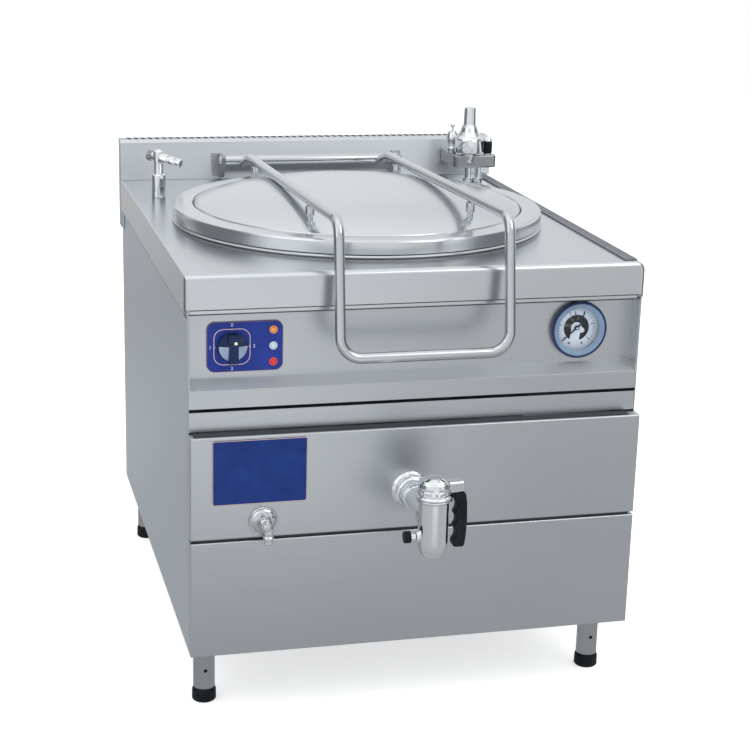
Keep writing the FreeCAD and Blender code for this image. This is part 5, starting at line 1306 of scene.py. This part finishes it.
class BOILINGPAN_OT_fill_tap(bpy.types.Operator):
    """Fill tap: sleeve, tee, ribbed spout, knob and the pipe below the worktop"""
    bl_idname = "boilingpan.fill_tap"
    bl_label = "Fill tap"

    def execute(self, context):
        sizes = context.scene.boiling_pan_fittings
        base = at(-366.0, 727.0, 0)
        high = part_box("fill_tap")[1]
        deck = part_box("worktop")[1].z / MM + 0.3
        top = high.z / MM
        tee = 902.0
        column = lathe("fill_column", [(0, deck), (14.5, deck), (14.5, deck + 46), (13, deck + 48),
                                       (9.5, deck + 48.4),
                                       (9.5, tee - 9.5), (10.5, tee - 7.5), (10.5, top - 4),
                                       (6.5, top), (0, top)],
                       base, UP, chrome(), "housing", "tap_chrome", segments=64, radius=1.0)
        turn = sizes.fill_aim
        aim = Vector((math.cos(turn), math.sin(turn), -sizes.fill_dip)).normalized()
        joint = base + Vector((0, 0, tee * MM))
        r = 10.5
        spout = lathe("fill_spout", [(3.05, -5), (3.05, -15), (r - 1.5, -15), (r - 1.5, 5),
                                     (r + 1, 6), (r + 1, 24), (r - 2, 25), (r - 2, 29), (r, 30),
                                     (r, 40), (r - 2, 41), (r - 2, 45), (r - 1, 46), (r - 1, 52),
                                     (r - 2, 54), (5, 54), (5, 8), (0, 8)],
                      joint, aim, chrome(), "housing", "tap_chrome", segments=64, radius=0.7)
        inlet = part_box("fill_tap")[0].z / MM
        line = bent_line([base + Vector((0, 0, (deck - 1) * MM)), at(-366, 727, 300),
                          Vector((base.x, high.y, 0.3))], [0.040])
        pipe = tube("fill_pipe", line, (300 - inlet) * MM - 0.0001,
                    brushed("pipe_steel", (0.5, 0.51, 0.52), 0.35, "Z"), "housing", "tube_steel")
        for piece in (column, spout, pipe):
            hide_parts("fill_tap")
        self.knob(joint - aim * 0.0153, -aim)
        return {"FINISHED"}

    def knob(self, base, aim):
        form = bmesh.new()
        outline = []
        for k in range(96):
            a = 2 * math.pi * k / 96
            ripple = max(0.0, math.cos(6 * a)) ** 2
            radius = 0.0105 - 0.0014 * ripple
            outline.append((radius * math.cos(a), radius * math.sin(a)))
        place = Matrix.Translation(base) @ axis_turn(aim)
        prism_form(form, outline, place, 0.009)
        tube_form(form, [base - aim * 0.0093, base], 0.003, 24)
        metal = polished("knob_metal", (0.30, 0.31, 0.33), 0.25)
        knob = from_form("fill_knob_moulding", form, metal, "fill_knob", "black_plastic",
                         degrees=50)
        add_bevel(knob, 0.0012, 3, 50)
        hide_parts("fill_tap_knob")


class BOILINGPAN_OT_valves(bpy.types.Operator):
    """Valve group: cast manifold on risers, funnel, vent knob and relief valve"""
    bl_idname = "boilingpan.valves"
    bl_label = "Valve group"

    def execute(self, context):
        low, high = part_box("manifold")
        self.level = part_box("funnel")[0].z - 0.0173
        funnel_low, funnel_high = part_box("funnel")
        self.funnel_x = (funnel_low.x + funnel_high.x) / 2
        self.axis_y = (funnel_low.y + funnel_high.y) / 2
        self.manifold(low, high)
        self.funnel()
        self.vent_knob()
        self.relief()
        return {"FINISHED"}

    def manifold(self, low, high):
        """Cast square elbow: an arm out of the upstand and a bar with a round end."""
        half = 0.013
        y = self.axis_y
        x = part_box("relief_valve")[0].x + 0.013
        z0 = self.level - 0.014
        rear = at(0, 934.3, 0).y
        form = bmesh.new()
        outline = [(low.x, rear), (low.x, y - half), (high.x, y - half), (high.x, y + half),
                   (low.x + 2 * half, y + half), (low.x + 2 * half, rear)]
        corners = soften(outline, 0.010, 8, True)
        prism_form(form, [(p.x, p.y) for p in corners], Matrix.Translation((0, 0, z0)), 0.028)
        for vert in form.verts:
            if vert.co.y > rear - 0.02:
                vert.co.y += (vert.co.z - z0) * 0.24
        body = from_form("manifold_cast", form, cast_metal(), "housing", "tap_chrome", 40)
        add_bevel(body, 0.0032, 4, 50)
        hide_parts("manifold")
        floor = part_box("worktop")[1].z / MM + 0.3
        for i, riser_x in enumerate((self.funnel_x, self.funnel_x + 0.023)):
            riser = lathe("riser_%d" % i, [(0, low.z / MM), (8, low.z / MM), (8, floor), (11, floor),
                                           (11, floor + 7), (10, floor + 8), (8, floor + 8.3),
                                           (8, self.level / MM)],
                          Vector((riser_x, y, 0)), UP, chrome(), "housing", "tap_chrome",
                          segments=48)
            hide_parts("manifold")
        knob_low, knob_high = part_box("valve_knob")
        seats = ((self.funnel_x, y, 16), ((knob_low.x + knob_high.x) / 2, y, 9),
                 (x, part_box("relief_valve")[0].y + 0.013, 10))
        for i, (seat_x, seat_y, seat) in enumerate(seats):
            z = self.level / MM
            boss = lathe("valve_seat_%d" % i, [(0, z - 2), (seat - 1.5, z - 2), (seat, z + 9),
                                               (seat, z + 16), (seat - 1, z + 17), (0, z + 17)],
                         Vector((seat_x, seat_y, 0)), UP, satin_chrome(), "housing", "tap_chrome",
                         segments=48)
            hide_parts("manifold")

    def funnel(self):
        """Six-sided body, cone shoulder and open tube."""
        low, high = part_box("funnel")
        z = low.z / MM
        top = high.z / MM
        centre = Vector(((low.x + high.x) / 2, (low.y + high.y) / 2, 0))
        form = bmesh.new()
        lathe_form(form, [(0, z), (16, z), (17, z + 1.5), (30, z + 2.5), (31.6, z + 4),
                          (31.6, z + 31), (30.4, z + 34), (25.5, z + 40), (21.0, z + 48),
                          (17.6, z + 58), (14.2, z + 64), (13.2, top - 3), (12.8, top), (11.6, top),
                          (11.6, z + 62), (9, z + 50), (6, z + 34), (6, z + 14), (0, z + 14)],
                   centre, UP, 144, 1.0)
        for vert in form.verts:
            out = vert.co.xy - centre.xy
            height = vert.co.z / MM - z
            if out.length > 0.02 and 5 < height < 31:
                angle = math.atan2(out.y, out.x) - math.radians(20)
                off = (angle + math.pi / 6) % (math.pi / 3) - math.pi / 6
                reach = min(1.0, 0.92 / math.cos(off))
                vert.co.xy = centre.xy + out * reach
        piece = from_form("funnel_turned", form, chrome(), "housing", "tap_chrome")
        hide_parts("funnel")

    def vent_knob(self):
        low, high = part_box("valve_knob")
        z = low.z / MM + 10
        top = high.z / MM
        centre = Vector(((low.x + high.x) / 2, (low.y + high.y) / 2, 0))
        form = bmesh.new()
        outline = []
        for k in range(128):
            a = 2 * math.pi * k / 128
            radius = 0.0100 - 0.0008 * max(0.0, math.cos(8 * a)) ** 2
            outline.append((radius * math.cos(a), radius * math.sin(a)))
        prism_form(form, outline, Matrix.Translation(centre + Vector((0, 0, z * MM))), 0.026)
        tube_form(form, [centre + Vector((0, 0, (z - 10) * MM)),
                         centre + Vector((0, 0, z * MM))], 0.0035, 24)
        knob = from_form("vent_knob_moulding", form, black_grip(), "vent_knob", "black_plastic",
                         degrees=50)
        add_bevel(knob, 0.0015, 3, 50)
        cap = lathe("vent_knob_cap", [(0, z + 25.5), (9.6, z + 25.5), (9.6, z + 28.5), (7.8, top - 3),
                                      (4, top - 0.6), (0, top)],
                    centre, UP, chrome(), "vent_knob", "tap_chrome", segments=64, radius=1.0)
        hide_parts("valve_knob")
        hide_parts("valve_knob")

    def relief(self):
        low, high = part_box("relief_valve")
        z = low.z / MM
        centre = Vector(((low.x + high.x) / 2, (low.y + high.y) / 2, 0))
        body = lathe("relief_turned", [(0, z), (10, z), (12, z + 2), (12, z + 7), (10.5, z + 9),
                                       (10.5, z + 18), (12.5, z + 20), (13, z + 28), (12, z + 36),
                                       (9, z + 43), (3, z + 45.6), (2.55, z + 45.6), (2.55, z + 22),
                                       (0, z + 22)],
                     centre, UP, chrome(), "housing", "tap_chrome", segments=64, radius=1.2)
        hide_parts("relief_valve")
        pin = lathe("relief_lift_pin", [(0, z + 23), (2.5, z + 23), (2.5, z + 52), (5, z + 53),
                                        (5.5, z + 56), (4, z + 59), (0, z + 60)],
                    centre, UP, chrome(), "relief", "tap_chrome", segments=48, radius=0.8)
        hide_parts("relief_pin")


class BOILINGPAN_PT_panel(bpy.types.Panel):
    """Lists the steps that dress the boiling pan"""
    bl_label = "Boiling pan"
    bl_idname = "BOILINGPAN_PT_panel"
    bl_space_type = "VIEW_3D"
    bl_region_type = "UI"
    bl_category = "Boiling pan"

    def draw(self, context):
        for group in (context.scene.boiling_pan_finish, context.scene.boiling_pan_stage,
                      context.scene.boiling_pan_fittings):
            for key in group.bl_rna.properties.keys():
                if key not in ("rna_type", "name"):
                    self.layout.prop(group, key)
        for step in STEPS:
            self.layout.operator(step.bl_idname)


STEPS = (BOILINGPAN_OT_stage, BOILINGPAN_OT_housing, BOILINGPAN_OT_legs, BOILINGPAN_OT_lid,
         BOILINGPAN_OT_handle, BOILINGPAN_OT_controls, BOILINGPAN_OT_label_plate,
         BOILINGPAN_OT_gauge, BOILINGPAN_OT_draw_off, BOILINGPAN_OT_level_tap,
         BOILINGPAN_OT_fill_tap, BOILINGPAN_OT_valves)
GROUPS = (("boiling_pan_finish", BoilingPanFinish), ("boiling_pan_stage", BoilingPanStage),
          ("boiling_pan_fittings", BoilingPanFittings))


def register():
    for name, group in GROUPS:
        bpy.utils.register_class(group)
        setattr(bpy.types.Scene, name, PointerProperty(type=group))
    for item in STEPS + (BOILINGPAN_PT_panel,):
        bpy.utils.register_class(item)


def unregister():
    for item in (BOILINGPAN_PT_panel,) + STEPS[::-1]:
        bpy.utils.unregister_class(item)
    for name, group in GROUPS:
        delattr(bpy.types.Scene, name)
        bpy.utils.unregister_class(group)


def main():
    register()
    for step in STEPS:
        name = step.bl_idname.split(".")[1]
        getattr(bpy.ops.boilingpan, name)()


if __name__ == "__main__":
    main()
